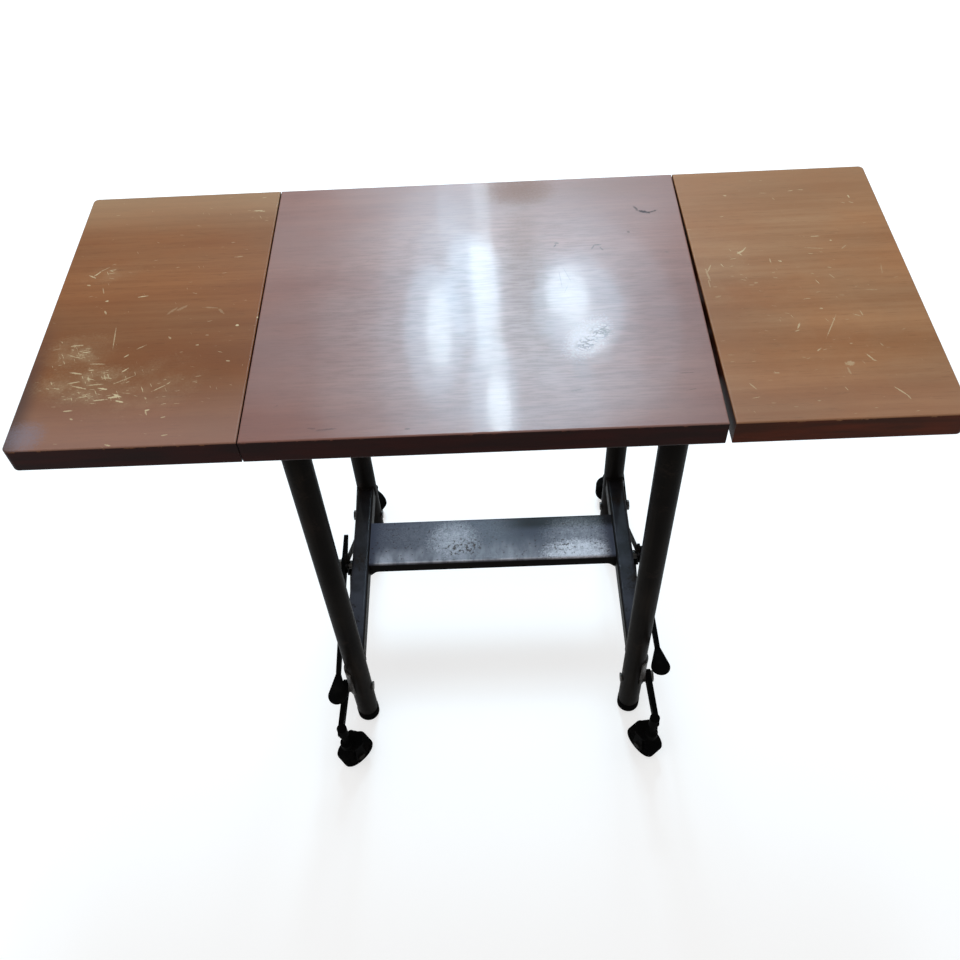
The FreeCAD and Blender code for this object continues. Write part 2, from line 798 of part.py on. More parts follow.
def cross_shaft():
    """Make the shaft that runs under the shelf from one pedal lever to the other."""
    reach = lever_outer + d["nut_height"]
    shaft = cylinder("cross_shaft", d["shaft_radius"], reach * 2, (-reach, shaft_y, shaft_z),
                     ALONG_X)
    keep(shaft, "pedal_cross_shaft")


def shaft_spacer(side_name):
    """Make the bush between one rail and its crank."""
    side = SIDES[side_name]
    ends = (rail_outer, crank_inner - d["side_gap"] / 2, side, shaft_y, shaft_z)
    ring = side_cylinder(side_name + "_spacer_ring", d["spacer_radius"], *ends)
    bore = side_cylinder(side_name + "_spacer_bore", d["shaft_radius"] + d["running_fit"], *ends)
    return cut(side_name + "_spacer", ring, [bore])


def crank(side_name):
    """Make the double crank of one side, with the two pins that its links hang on."""
    side = SIDES[side_name]
    x = (crank_inner + d["crank_thick"] / 2) * side
    r = d["crank_radius"]
    bar = side_bar(side_name + "_crank_bar", d["crank_eye"], d["crank_eye"], d["crank_thick"], x,
                   (shaft_y, shaft_z - r), (shaft_y, shaft_z + r))
    hub = side_cylinder(side_name + "_crank_hub", d["lever_hub_radius"], crank_inner, crank_outer,
                        side, shaft_y, shaft_z)
    pins = [side_cylinder("%s_crank_pin_%d" % (side_name, i), d["link_pin_radius"],
                          link_inner - d["side_gap"] / 2, crank_outer, side, shaft_y,
                          shaft_z + r * up)
            for i, up in enumerate((-1, 1))]
    blank = fuse(side_name + "_crank_blank", [bar, hub] + pins)
    bore = side_cylinder(side_name + "_crank_bore", d["shaft_radius"], crank_inner, crank_outer,
                         side, shaft_y, shaft_z)
    keep(cut(side_name + "_crank_cut", blank, [bore]), side_name + "_crank")


def pedal_lever(side_name):
    """Make one foot lever: an edgewise bar with a flat leaf-shaped pedal; the left has a tail."""
    side = SIDES[side_name]
    forward = FreeCAD.Vector(0, -1, 0)
    name = side_name + "_lever"
    hub = cylinder(name + "_hub", d["lever_hub_radius"], d["lever_thick"],
                   (-d["lever_thick"] / 2, fixed(0), fixed(0)), ALONG_X)
    bar = tapered_bar(name + "_bar", d["lever_hub_radius"] * 0.75, d["lever_neck_radius"],
                      d["lever_neck_reach"], d["lever_thick"])
    place(bar, (fixed(0), fixed(0), fixed(0)), frame_turn(forward, X_AXIS))
    pedal = tapered_bar(name + "_pedal", d["lever_thick"] / 2, d["pedal_radius"],
                        d["pedal_reach"] - d["lever_neck_reach"], d["pedal_thick"])

    def rim(edge):
        return abs(abs(edge.CenterOfMass.z) - number(d["pedal_thick"]) / 2) < SMALL

    round_edges(pedal, name + "_pedal_round", d["pedal_round"], rim)
    place(pedal, (fixed(0), -d["lever_neck_reach"], fixed(0)), frame_turn(forward, Z_AXIS))
    parts = [hub, bar, pedal]
    if side_name == "left":
        tail = tapered_bar(name + "_tail", d["lever_hub_radius"] * 0.75, d["tail_tip_radius"],
                           d["tail_reach"] - d["tail_tip_radius"], d["lever_thick"])
        parts.append(place(tail, (fixed(0), fixed(0), fixed(0)), frame_turn(Y_AXIS, X_AXIS)))
    blank = fuse(name + "_blank", parts)
    bore = cylinder(name + "_bore", d["shaft_radius"], d["lever_thick"],
                    (-d["lever_thick"] / 2, fixed(0), fixed(0)), ALONG_X)
    lever = cut(name + "_cut", blank, [bore])
    turn = FreeCAD.Rotation(X_AXIS, -number(d[side_name + "_lever_angle"]))
    place(lever, (lever_x * side, shaft_y, shaft_z), turn)
    keep(lever, side_name + "_pedal_lever")


def hexagon_prism(name, radius, height, at, turn):
    """Make a hexagonal nut or bolt head from its across-corners radius."""
    obj = doc.addObject("Part::Prism", name)
    obj.Polygon = 6
    bind(obj, "Circumradius", radius)
    bind(obj, "Height", height)
    return place(obj, at, turn)


def shaft_nut(side_name):
    """Make the nut that clamps one lever and crank on the shaft."""
    side = SIDES[side_name]
    start = lever_outer if side > 0 else -lever_outer - d["nut_height"]
    nut = hexagon_prism(side_name + "_nut_hexagon", d["nut_radius"], d["nut_height"],
                        (start, shaft_y, shaft_z), ALONG_X)
    bore = cylinder(side_name + "_nut_bore", d["shaft_radius"], d["nut_height"],
                    (start, shaft_y, shaft_z), ALONG_X)
    return cut(side_name + "_nut", nut, [bore])


# ---------------------------------------------------------------- caster linkage


def horn_point(end_name):
    """Give the (Y, Z) place of a caster arm's link pin, below and inboard of its pivot."""
    end = ENDS[end_name]
    reach = d[end_name + "_horn"]
    slope = math.radians(SIZES["horn_slope"])
    return (leg_y - reach * math.cos(slope)) * end, \
        d["arm_pivot_height"] - reach * math.sin(slope)


def crank_pin_height(end_name):
    """Give the height of the crank pin that works one end: the lower pin works the front."""
    return shaft_z + d["crank_radius"] * ENDS[end_name]


def link(end_name, side_name):
    """Make the flat bar from a crank pin to a caster arm's horn."""
    side = SIDES[side_name]
    name = corner_name(end_name, side_name)
    x = (link_inner + d["link_thick"] / 2) * side
    start = (shaft_y, crank_pin_height(end_name))
    end = horn_point(end_name)
    bar = side_bar(name + "_link_bar", d["link_bar"], d["link_bar"], d["link_thick"], x, start, end)
    limits = (link_inner, link_outer, side)
    eyes = [side_cylinder("%s_link_eye_%d" % (name, i), d["link_eye"], *limits, *point)
            for i, point in enumerate((start, end))]
    blank = fuse(name + "_link_blank", [bar] + eyes)
    holes = [
        side_cylinder(name + "_crank_end", d["link_pin_radius"] + d["running_fit"], *limits, *start),
        side_cylinder(name + "_horn_end", d["link_pin_radius"] + d["open_pivot_play"], *limits, *end),
    ]
    keep(cut(name + "_link_cut", blank, holes), name + "_link")


def caster_bracket(name, side, end):
    """Make the saddle round the outer half of a leg, with the boss of the arm's pivot."""
    x, y = leg_x * side, leg_y * end
    outer_radius = d["leg_radius"] + d["saddle_thick"]
    height = saddle_top - saddle_bottom
    sweep = SIZES["saddle_angle"]
    middle = 0 if side > 0 else FULL_TURN / 2
    sector = cylinder(name + "_saddle", outer_radius, height, (x, y, saddle_bottom),
                      FreeCAD.Rotation(Z_AXIS, middle - sweep / 2), sweep)
    boss = side_cylinder(name + "_boss", d["bracket_boss_radius"], leg_x,
                         arm_inner - d["side_gap"] / 2, side, y, d["arm_pivot_height"])
    blank = fuse(name + "_bracket_blank", [sector, boss])
    tube = cylinder(name + "_bracket_tube", d["leg_radius"], saddle_top, (x, y, fixed(0)))
    bore = side_cylinder(name + "_bracket_bore", d["arm_pin_radius"], leg_x,
                         arm_inner, side, y, d["arm_pivot_height"])
    keep(cut(name + "_bracket_cut", blank, [tube, bore]), name + "_caster_bracket")


def pivot_bolt(name, side, end):
    """Make the bolt through a leg and its bracket that a caster arm turns on."""
    y, z = leg_y * end, d["arm_pivot_height"]
    inner = leg_x - d["leg_radius"]
    head_start = arm_outer + d["side_gap"] / 2
    shank = side_cylinder(name + "_bolt_shank", d["arm_pin_radius"], inner, head_start, side, y, z)
    head_x = head_start if side > 0 else -head_start - d["bolt_head_height"]
    head = hexagon_prism(name + "_bolt_head", d["bolt_head_radius"], d["bolt_head_height"],
                         (head_x, y, z), ALONG_X)
    tail = side_cylinder(name + "_bolt_tail", d["bolt_head_radius"] * 0.8,
                         inner - d["bolt_head_height"] * 0.6, inner, side, y, z)
    return fuse(name + "_bolt", [shank, head, tail])


def caster_arm(end_name, side_name):
    """Make one bell crank: hub, horn with its link pin, bar and the upright caster socket."""
    side, end = SIDES[side_name], ENDS[end_name]
    name = corner_name(end_name, side_name)
    pivot = (leg_y * end, d["arm_pivot_height"])
    tip = (stem_y * end, arm_tip_z)
    horn = horn_point(end_name)
    x = arm_x * side
    hub = side_cylinder(name + "_arm_hub", d["arm_hub_radius"], arm_inner, arm_outer, side, *pivot)
    bar = side_bar(name + "_arm_bar", d["arm_hub_radius"] * 0.85, d["arm_tip_radius"],
                   d["arm_thick"], x, pivot, tip)
    horn_bar = side_bar(name + "_arm_horn", d["arm_hub_radius"] * 0.85, d["horn_eye"],
                        d["arm_thick"], x, pivot, horn)
    pin = side_cylinder(name + "_arm_pin", d["link_pin_radius"], link_inner - d["side_gap"] / 2,
                        arm_outer, side, *horn)
    socket = cylinder(name + "_arm_socket", d["socket_radius"], d["socket_height"],
                      (stem_x * side, tip[0], arm_tip_z - d["socket_height"] / 2))
    blank = fuse(name + "_arm_blank", [hub, bar, horn_bar, pin, socket])
    stem_bore = cylinder(name + "_arm_stem_bore", d["stem_radius"] + d["running_fit"],
                         d["socket_height"],
                         (stem_x * side, tip[0], arm_tip_z - d["socket_height"] / 2))
    pivot_bore = side_cylinder(name + "_arm_pivot_bore", d["arm_pin_radius"] + d["running_fit"],
                               arm_inner, arm_outer, side, *pivot)
    keep(cut(name + "_arm_cut", blank, [stem_bore, pivot_bore]), name + "_caster_arm")


# ---------------------------------------------------------------- swivel casters


def wheel_centre_height():
    """Give the height of a wheel's axle while the wheels hang clear of the floor."""
    return d["wheel_clearance"] + d["wheel_radius"]


def caster_turn(name):
    """Give the rotation of one caster about its stem."""
    return FreeCAD.Rotation(Z_AXIS, SWIVEL_ANGLES[name])


def caster_fork(name, side, end):
    """Make the fork, its raceway and its stem, drawn with the trail along local x."""
    axle_z = wheel_centre_height()
    crown_z = axle_z + d["wheel_radius"] + d["wheel_top_gap"]
    half_inside = d["wheel_width"] / 2 + d["wheel_side_gap"]
    outer = half_inside + d["cheek_thick"]
    crown = tapered_bar(name + "_crown", d["raceway_radius"], outer, d["caster_trail"],
                        d["crown_thick"])
    place(crown, (fixed(0), fixed(0), crown_z + d["crown_thick"] / 2))
    half_bridge = d["crown_bridge"] / 2
    bridge = plate(name + "_bridge", "XY_Plane", [
        (-half_bridge, -outer),
        (half_bridge, -outer),
        (half_bridge, outer),
        (-half_bridge, outer),
    ], d["crown_thick"])

    def upright_edge(edge):
        return abs(edge.CenterOfMass.z) < SMALL

    round_edges(bridge, name + "_bridge_round", d["crown_round"], upright_edge)
    place(bridge, (d["caster_trail"], fixed(0), crown_z + d["crown_thick"] / 2))
    race_z = crown_z + d["crown_thick"]
    race = cylinder(name + "_raceway", d["raceway_radius"], d["raceway_height"],
                    (fixed(0), fixed(0), race_z))
    stem_top = arm_tip_z + d["socket_height"] / 2 + d["side_gap"] / 2
    stem = cylinder(name + "_stem", d["stem_radius"], stem_top - race_z,
                    (fixed(0), fixed(0), race_z))
    cap = turned(name + "_cap", [
        (fixed(0), fixed(0)),
        (d["stem_cap_radius"], fixed(0)),
        (d["stem_cap_radius"], d["stem_cap_height"] / 2),
        (d["stem_cap_radius"] * 0.6, d["stem_cap_height"]),
        (fixed(0), d["stem_cap_height"]),
    ])
    place(cap, (fixed(0), fixed(0), stem_top))
    trail = d["caster_trail"]
    cheek_height = crown_z + d["crown_thick"] - axle_z
    cheeks = []
    for i, hand in enumerate((-1, 1)):
        corners = [
            (-d["cheek_radius"], fixed(0)),
            (d["cheek_radius"], fixed(0)),
            (half_bridge - d["crown_round"], cheek_height),
            (d["crown_round"] - half_bridge, cheek_height),
        ]
        cheek = plate("%s_cheek_%d" % (name, i), "XZ_Plane", corners, d["cheek_thick"])
        y = (half_inside + d["cheek_thick"] / 2) * hand
        cheeks.append(place(cheek, (trail, y, axle_z)))
        start = half_inside if hand > 0 else -outer
        cheeks.append(cylinder("%s_cheek_end_%d" % (name, i), d["cheek_radius"], d["cheek_thick"],
                               (trail, start, axle_z), ALONG_Y))
    blank = fuse(name + "_fork_blank", [crown, bridge, race, stem, cap] + cheeks)
    bore = cylinder(name + "_fork_bore", d["axle_radius"], outer * 2, (trail, -outer, axle_z),
                    ALONG_Y)
    fork = cut(name + "_fork_cut", blank, [bore])
    place(fork, (stem_x * side, stem_y * end, fixed(0)), caster_turn(name))
    keep(fork, name + "_caster_fork")
    pin = cylinder(name + "_axle_pin", d["axle_radius"], outer * 2, (trail, -outer, axle_z), ALONG_Y)
    heads = [cylinder("%s_axle_head_%d" % (name, i), d["axle_head_radius"], d["axle_head_height"],
                      (trail, outer if hand > 0 else -outer - d["axle_head_height"], axle_z),
                      ALONG_Y)
             for i, hand in enumerate((-1, 1))]
    axle = fuse(name + "_axle_solid", [pin] + heads)
    place(axle, (stem_x * side, stem_y * end, fixed(0)), caster_turn(name))
    keep(axle, name + "_caster_axle")


def tread_corner(hand):
    """Give the rounded corner of the tread on one side, from the side face to the tread."""
    half, r, c = d["wheel_width"] / 2, d["wheel_radius"], d["wheel_crown"]
    turns = [math.radians(angle) for angle in (90, 60, 30, 0)]
    return [(r - c * (1 - math.cos(a)), (half - c * (1 - math.sin(a))) * hand) for a in turns]


def caster_wheel(name, side, end):
    """Make one wheel: a rounded tread, dished sides and a hub as wide as the tread."""
    half = d["wheel_width"] / 2
    dish = d["hub_dish"]
    bore = d["axle_radius"] + d["running_fit"]
    hub = d["axle_head_radius"] + dish
    rim = d["wheel_radius"] - d["wheel_crown"] - dish / 2
    profile = [(bore, -half), (hub, -half), (hub + dish, dish - half), (rim - dish, dish - half)]
    profile += [(rim, -half)] + tread_corner(-1) + tread_corner(1)[::-1] + [(rim, half)]
    profile += [(rim - dish, half - dish), (hub + dish, half - dish), (hub, half), (bore, half)]
    wheel = turned(name + "_wheel_body", profile)
    angle = math.radians(SWIVEL_ANGLES[name])
    turn = caster_turn(name) * ALONG_Y
    at = (stem_x * side + d["caster_trail"] * math.cos(angle),
          stem_y * end + d["caster_trail"] * math.sin(angle), wheel_centre_height())
    place(wheel, at, turn)
    keep(wheel, name + "_caster_wheel")


# ---------------------------------------------------------------- the table


center_panel()
panel_screws = []
support_pins = []
for side_name in SIDES:
    leaf(side_name)
    panel_screws += seam_hinges(side_name)
    leaf_support(side_name)
    support_pins.append(support_bracket(side_name))
keep(group("panel_screws", panel_screws), "panel_hinge_screws")
keep(group("support_pins", support_pins), "leaf_support_pins")

feet, flanges, flange_screws, bolts = [], [], [], []
for name, side, end in corners_of_table():
    leg(name, side, end)
    feet.append(rubber_foot(name, side, end))
    flange, screws = flange_with_screws(name, side, end)
    flanges.append(flange)
    flange_screws += screws
    caster_bracket(name, side, end)
    bolts.append(pivot_bolt(name, side, end))
keep(group("feet", feet), "rubber_feet")
keep(group("flanges", flanges), "leg_flanges")
keep(group("screws_of_flanges", flange_screws), "flange_screws")
keep(group("bolts", bolts), "caster_pivot_bolts")

shelf()
cross_shaft()
for side_name in SIDES:
    side_rail(side_name)
    crank(side_name)
    pedal_lever(side_name)
keep(group("spacers", [shaft_spacer(side_name) for side_name in SIDES]), "shaft_spacers")
keep(group("nuts", [shaft_nut(side_name) for side_name in SIDES]), "pedal_shaft_nuts")

for end_name, end in ENDS.items():
    for side_name, side in SIDES.items():
        name = corner_name(end_name, side_name)
        link(end_name, side_name)
        caster_arm(end_name, side_name)
        caster_fork(name, side, end)
        caster_wheel(name, side, end)

doc.recompute()
for obj in doc.Objects:
    if "Invalid" in obj.State or "Error" in obj.State:
        raise RuntimeError("failed feature: " + obj.Name)
os.makedirs("parts", exist_ok=True)
for node in nodes:
    if node.Shape.isNull() or not node.Shape.isValid():
        raise RuntimeError("bad shape: " + node.Label)
    node.Shape.exportStep("parts/" + node.Label + ".step")
print(len(nodes), "nodes")
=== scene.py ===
"""Finishes, weld beads, wheel faces and a studio for a rolling drop-leaf typewriter table.

The wooden top is stained mahogany: a varnished middle panel between two drop leaves whose varnish
is worn dull and scratched. The stand is dark enamelled steel with a rubbed shelf, and the casters
turn on black rubber wheels. Lengths are metres and the floor is z = 0.
"""

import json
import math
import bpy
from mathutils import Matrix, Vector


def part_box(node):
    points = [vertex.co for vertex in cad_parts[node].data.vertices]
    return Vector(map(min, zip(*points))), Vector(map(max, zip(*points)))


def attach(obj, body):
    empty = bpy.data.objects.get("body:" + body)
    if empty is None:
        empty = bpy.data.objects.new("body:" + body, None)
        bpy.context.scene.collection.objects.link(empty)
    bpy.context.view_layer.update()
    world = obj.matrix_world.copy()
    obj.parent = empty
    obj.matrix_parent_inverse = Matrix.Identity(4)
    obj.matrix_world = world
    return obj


bl_info = {
    "name": "Typewriter Table Finishes",
    "version": (1, 0, 0),
    "blender": (4, 5, 0),
    "location": "View3D > Sidebar > Table",
    "description": "Wood, enamel, rubber and small welded details for a typewriter table",
    "category": "Object",
}

import bpy
import numpy as np
from bpy.props import FloatProperty, FloatVectorProperty, IntProperty, PointerProperty
from mathutils import Matrix, Vector

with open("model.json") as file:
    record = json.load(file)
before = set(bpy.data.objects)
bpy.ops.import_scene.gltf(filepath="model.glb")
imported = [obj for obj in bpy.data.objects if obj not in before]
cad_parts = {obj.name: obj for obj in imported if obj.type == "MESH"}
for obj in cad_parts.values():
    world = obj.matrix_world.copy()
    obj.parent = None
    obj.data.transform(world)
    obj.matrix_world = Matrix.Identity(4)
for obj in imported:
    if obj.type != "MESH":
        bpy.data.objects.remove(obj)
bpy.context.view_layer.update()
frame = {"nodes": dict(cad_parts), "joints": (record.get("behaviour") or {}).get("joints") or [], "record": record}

MM = 0.001
FULL_TURN = 2 * math.pi
TOP_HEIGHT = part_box("center_panel")[1].z
SIDES = ("left", "right")
ENDS = {"front": -1, "rear": 1}
CORNERS = [end + "_" + side for end in ENDS for side in SIDES]

HALF_DEPTH = 0.195  # of the boards, front to rear
LEFT_END = -0.4505  # x of the left leaf's outer end
RAIL_CORNER = 4 * MM
FACE_INNER, FACE_OUTER = 10 * MM, 17 * MM  # radii of the ribbed ring in a wheel face
FACE_FLOOR = 10 * MM  # from the wheel's middle plane to the bottom of its dish
FLOOR_REACH = 12.0
MARK_EDGE = 1.95  # level at which a mark ends

# Scratches and stains: x and y (mm), heading (degrees), half length, half width (mm), strength.
LEFT_LEAF_MARKS = [
    (-252, 159, 2, 7, 0.9, 0.75), (-247, 158, -8, 4, 1.3, 0.5), (-263, 77, 4, 5, 0.9, 0.4),
    (-420, 53, -31, 6, 0.9, 0.8), (-416, 57, 50, 5, 0.9, 0.85), (-400, 63, 11, 6, 0.7, 0.6),
    (-410, 64, 38, 7, 0.7, 0.45), (-421, 39, -22, 2.6, 1.1, 0.6), (-403, 29, -72, 6, 0.7, 0.4),
    (-395, 12, 0, 1.9, 1.5, 0.9), (-393, -6, -64, 3.5, 1.1, 0.55), (-358, 17, 9, 6, 0.9, 0.85),
    (-375, -45, -84, 18, 0.7, 0.5), (-357, -73, 42, 3.4, 0.8, 0.8), (-344, -61, 34, 6, 0.8, 0.5),
    (-317, -49, -47, 2.8, 1.1, 0.5), (-287, -61, 0, 1.8, 1.0, 0.6), (-279, -47, 0, 2, 0.8, 0.4),
    (-250, -34, 0, 2.0, 1.6, 0.95), (-230, -23, -40, 1.6, 1.2, 0.9), (-322, -8, 50, 8, 1.6, 0.2),
    (-312, -4, 36, 8, 1.8, 0.2), (-282, -5, -8, 9, 1.0, 0.22), (-270, -11, -49, 6, 1.6, 0.2),
    (-252, -86, -10, 2.4, 0.9, 0.6), (-354, -93, 43, 5, 0.9, 0.9), (-353, -107, 29, 14, 0.7, 0.5),
    (-371, -118, -14, 6, 1.2, 1.0), (-355, -128, -27, 6, 1.3, 0.95), (-358, -130, 6, 6, 1.5, 0.9),
    (-351, -136, -17, 6, 1.1, 0.9), (-315, -120, 33, 9, 0.8, 0.6), (-307, -114, 50, 3, 0.9, 0.6),
    (-321, -149, 10, 2.6, 1.3, 0.85), (-322, -152, -68, 4, 0.9, 0.6),
    (-304, -159, 17, 3.2, 0.8, 0.6), (-299, -182, 10, 3.6, 0.9, 0.6),
    (-350, -192, -19, 3.6, 0.9, 0.7), (-326, -133, -48, 2.2, 1, 0.5), (-411, -55, 5, 8, 1.2, 0.6),
    (-403, -95, -12, 7, 1.2, 0.75), (-413, -70, -25, 7, 1.0, 0.5), (-395, -115, -17, 9, 1.0, 0.7),
    (-380, -112, 4, 10, 1.0, 0.6), (-371, -133, 6, 9, 1.1, 0.7), (-388, -128, 12, 8, 1.0, 0.6),
    (-399, -146, 4, 6, 1.0, 0.7), (-348, -110, 24, 2.6, 0.8, 0.6), (-393, -157, -32, 2, 1.0, 0.6),
    (-384, -83, -4, 9, 1.0, 0.45), (-402, -108, 10, 7, 1.0, 0.7),
]
RIGHT_LEAF_MARKS = [
    (283, 49, 32, 6, 1.3, 0.75), (281, 46, -58, 4, 0.9, 0.6), (287, 53, 49, 5, 0.7, 0.6),
    (245, 24, 66, 8, 0.9, 0.4), (242, 13, -84, 12, 1.3, 0.32), (241, 0, -89, 8, 0.8, 0.3),
    (367, 70, 1, 6.5, 0.7, 0.6), (382, 62, -34, 1.5, 1.2, 0.6), (362, 50, -9, 12, 0.7, 0.26),
    (393, 50, 42, 6, 0.8, 0.3), (420, 138, -84, 3.4, 0.9, 0.7), (420, 127, -30, 3, 0.8, 0.5),
    (283, 149, -20, 2.4, 1.2, 0.5), (358, 153, 10, 4, 0.7, 0.45), (370, 154, -10, 4, 0.8, 0.4),
    (311, 32, -91, 5, 0.8, 0.45), (321, 31, -33, 2.4, 1.4, 0.6), (289, -2, 0, 2.8, 1.2, 0.3),
    (369, 4, -60, 5, 0.8, 0.35), (347, -45, 0, 2.2, 1.2, 0.5), (380, -57, -26, 5, 0.8, 0.45),
    (385, -54, -82, 5, 0.8, 0.4), (319, -69, 62, 6, 1.1, 0.6), (316, -76, 20, 3, 0.8, 0.5),
    (351, -71, 62, 20, 0.7, 0.45), (331, -104, 38, 3.6, 0.9, 0.55), (364, -97, 0, 2, 0.9, 0.4),
    (377, -116, -60, 6, 0.9, 0.6), (380, -121, -30, 4, 0.8, 0.5), (356, -124, 0, 5, 4, 0.4),
    (353, -134, -84, 5, 1.4, 0.28), (284, -133, 0, 3.4, 0.9, 0.45), (258, -149, -57, 6, 0.9, 0.4),
    (394, -163, -50, 8, 0.9, 0.65), (399, -170, -70, 4, 0.8, 0.5), (316, -171, 0, 2.6, 0.8, 0.35),
    (247, -21, 13, 4, 1.4, 0.22), (423, 12, 80, 9, 0.8, 0.2), (405, -20, -5, 9, 0.8, 0.2),
]
PANEL_MARKS = [
    (180, 133, -62, 6, 1.6, 0.7), (188, 126, -20, 9, 2.2, 0.95), (198, 126, 22, 7, 1.4, 0.75),
    (167, 91, -52, 2, 1.6, 0.6), (126, 68, 60, 5, 1.0, 0.6), (131, 71, 0, 5, 1.0, 0.65),
    (135, 64, -60, 4, 1.0, 0.6), (87, 77, -10, 3, 1.1, 0.7), (85, 73, 60, 4, 1.1, 0.6),
    (87, 17, -86, 18, 0.6, 0.4), (95, 22, -73, 17, 0.6, 0.36), (92, 1, 69, 7, 0.6, 0.36),
    (-147, -183, 4, 12, 1.2, 0.4), (-160, -181, -8, 5, 1.0, 0.4), (204, 54, 0, 2.5, 1.4, 0.45),
    (198, -128, 0, 8, 0.6, 0.5), (-70, -186, 0, 3, 1.2, 0.5), (92, -145, 10, 7, 1.0, 0.3),
    (201, -150, 10, 6, 0.6, 0.4), (-196, -150, 40, 4, 0.8, 0.25), (-120, 60, 20, 3, 0.8, 0.2),
]

# Soft patches, given in the same way.
# The first area holds the panel's brush lines, partly painted ripples in its reflections.
BRUSH_AND_GLINT_AREA = [(20, -30, 0, 190, 170, 1.0)]
CLEAR_PATCHES = [
    (50, 176, -4, 40, 30, 0.9), (150, 176, 0, 70, 22, 0.3), (52, 40, 92, 130, 22, 0.45),
]
SMOKY_PATCHES = [(98, -112, -75, 20, 10, 0.5), (80, -104, 4, 44, 14, 0.25)]
CRAZED_PATCHES = [(122, -66, 42, 13, 10, 1.0), (106, -82, 40, 13, 9, 1.0)]
PALE_PATCH = [(108, -74, 56, 28, 16, 1.0)]
RUBBED_PATCHES = {
    "left": [(-408, -66, 8, 30, 24, 0.85), (-388, -112, -6, 52, 26, 1.0),
             (-330, -118, 24, 52, 36, 0.42), (-400, 58, 20, 30, 14, 0.35)],
    "right": [(340, -60, 0, 90, 120, 0.16), (262, 20, 80, 60, 26, 0.30)],
}
CLOUDY_CORNER = [(-434, -178, 12, 19, 18, 0.6)]
SHELF_PATCHES = [
    (-57, 32, 4, 36, 34, 0.72), (-80, 40, 0, 90, 46, 0.16), (122, 4, 4, 46, 26, 1.5),
    (126, 26, 0, 46, 36, 0.40), (30, 4, 0, 80, 12, 0.3),
]
PITTED_PATCHES = [(-42, 24, 0, 28, 16, 0.9), (108, 20, 0, 26, 14, 0.45)]

# Linear colours of stains and faded varnish.
HAZE = (0.33, 0.26, 0.25)
DIRT = (0.035, 0.022, 0.022)
CLEAR = (0.19, 0.105, 0.07)
SMOKE = (0.09, 0.07, 0.075)
CRAZED = (0.66, 0.55, 0.56)
CRACK = (0.05, 0.03, 0.022)
PALE = (0.42, 0.29, 0.17)
MILKY = (0.36, 0.24, 0.22)
# The next colour darkens the left leaf's left end.
DARKER_END = (0.045, 0.028, 0.026)
CLOUD = (0.20, 0.175, 0.21)
RIGHT_EDGE = (0.036, 0.009, 0.003)

# Factors that multiply a colour.
COOLER, WARMER = (0.97, 1.02, 1.08), (1.04, 0.97, 0.90)
PORE = (0.45, 0.42, 0.40)
# Dark and light brush lines on the panel, partly painted ripples in its reflections.
DARK_LINE, LIGHT_LINE = (0.80, 0.79, 0.80), (1.15, 1.15, 1.16)

# Window panes over the table: shape, x, y, width, depth, strength, tint. Each hangs a step above
# the one before, because panes at one height hide each other in reflections.
BAR, DISC = "RECTANGLE", "ELLIPSE"
WHITE, BLUE = (0.80, 0.94, 1.0), (0.50, 0.78, 1.0)
PANE_HEIGHT, PANE_STEP = TOP_HEIGHT + 1.6, 6 * MM
WINDOW_PANES = (
    (BAR, -0.014, 2.4, 0.062, 0.56, 0.12, WHITE),
    (DISC, -0.08, 2.35, 0.2, 0.86, 0.09, BLUE),
    (BAR, -0.01, 1.95, 0.09, 0.4, 0.48, WHITE),
    (DISC, -0.05, 1.92, 0.2, 0.6, 0.25, BLUE),
    (BAR, 0.006, 1.64, 0.086, 0.26, 0.4, WHITE),
    (DISC, 0.026, 1.35, 0.076, 0.3, 0.84, WHITE),
    (DISC, 0.012, 1.38, 0.16, 0.62, 0.29, BLUE),
    (DISC, -0.172, 1.74, 0.086, 0.43, 0.52, WHITE),
    (DISC, -0.19, 1.74, 0.21, 0.66, 0.23, BLUE),
    (DISC, 0.286, 1.89, 0.15, 0.27, 0.54, WHITE),
    (DISC, 0.318, 1.84, 0.32, 0.54, 0.24, BLUE),
    (DISC, 0.345, 1.7, 0.17, 0.22, 0.3, WHITE),
    (DISC, -0.19, 1.78, 0.4, 1.6, 0.05, BLUE),
    (DISC, -0.15, 1.85, 0.26, 1.1, 0.07, BLUE),
    (DISC, 0.39, 1.84, 0.56, 1.08, 0.07, BLUE),
    (DISC, 0.37, 1.75, 0.3, 0.8, 0.04, BLUE),
    (DISC, 0.04, 1.31, 0.64, 0.64, 0.055, BLUE),
    (DISC, 0.25, 1.33, 0.28, 0.5, 0.06, BLUE),
)

# The camera's own directions, and its place.
CAMERA_RIGHT = Vector((0.99909394, -0.01852441, -0.0383163))
CAMERA_DOWN = Vector((-0.03833769, -0.78266152, -0.62126578))
CAMERA_AHEAD = Vector((-0.01848011, 0.62217184, -0.78266256))
CAMERA_PLACE = Vector((0.0130411, -0.7944937, TOP_HEIGHT + 0.6846321))


# ---------------------------------------------------------------- settings


def colour(name, default, description):
    """Make a colour setting with linear values."""
    return FloatVectorProperty(
        name=name, description=description, subtype="COLOR", size=3, min=0.0, max=1.0,
        default=default,
    )


def number(name, default, top, description, low=0.0):
    """Make a plain number setting."""
    return FloatProperty(name=name, description=description, default=default, min=low, max=top)


def length(name, default, description):
    """Make a length setting in metres."""
    return FloatProperty(
        name=name, description=description, unit="LENGTH", subtype="DISTANCE", min=0.0,
        default=default,
    )


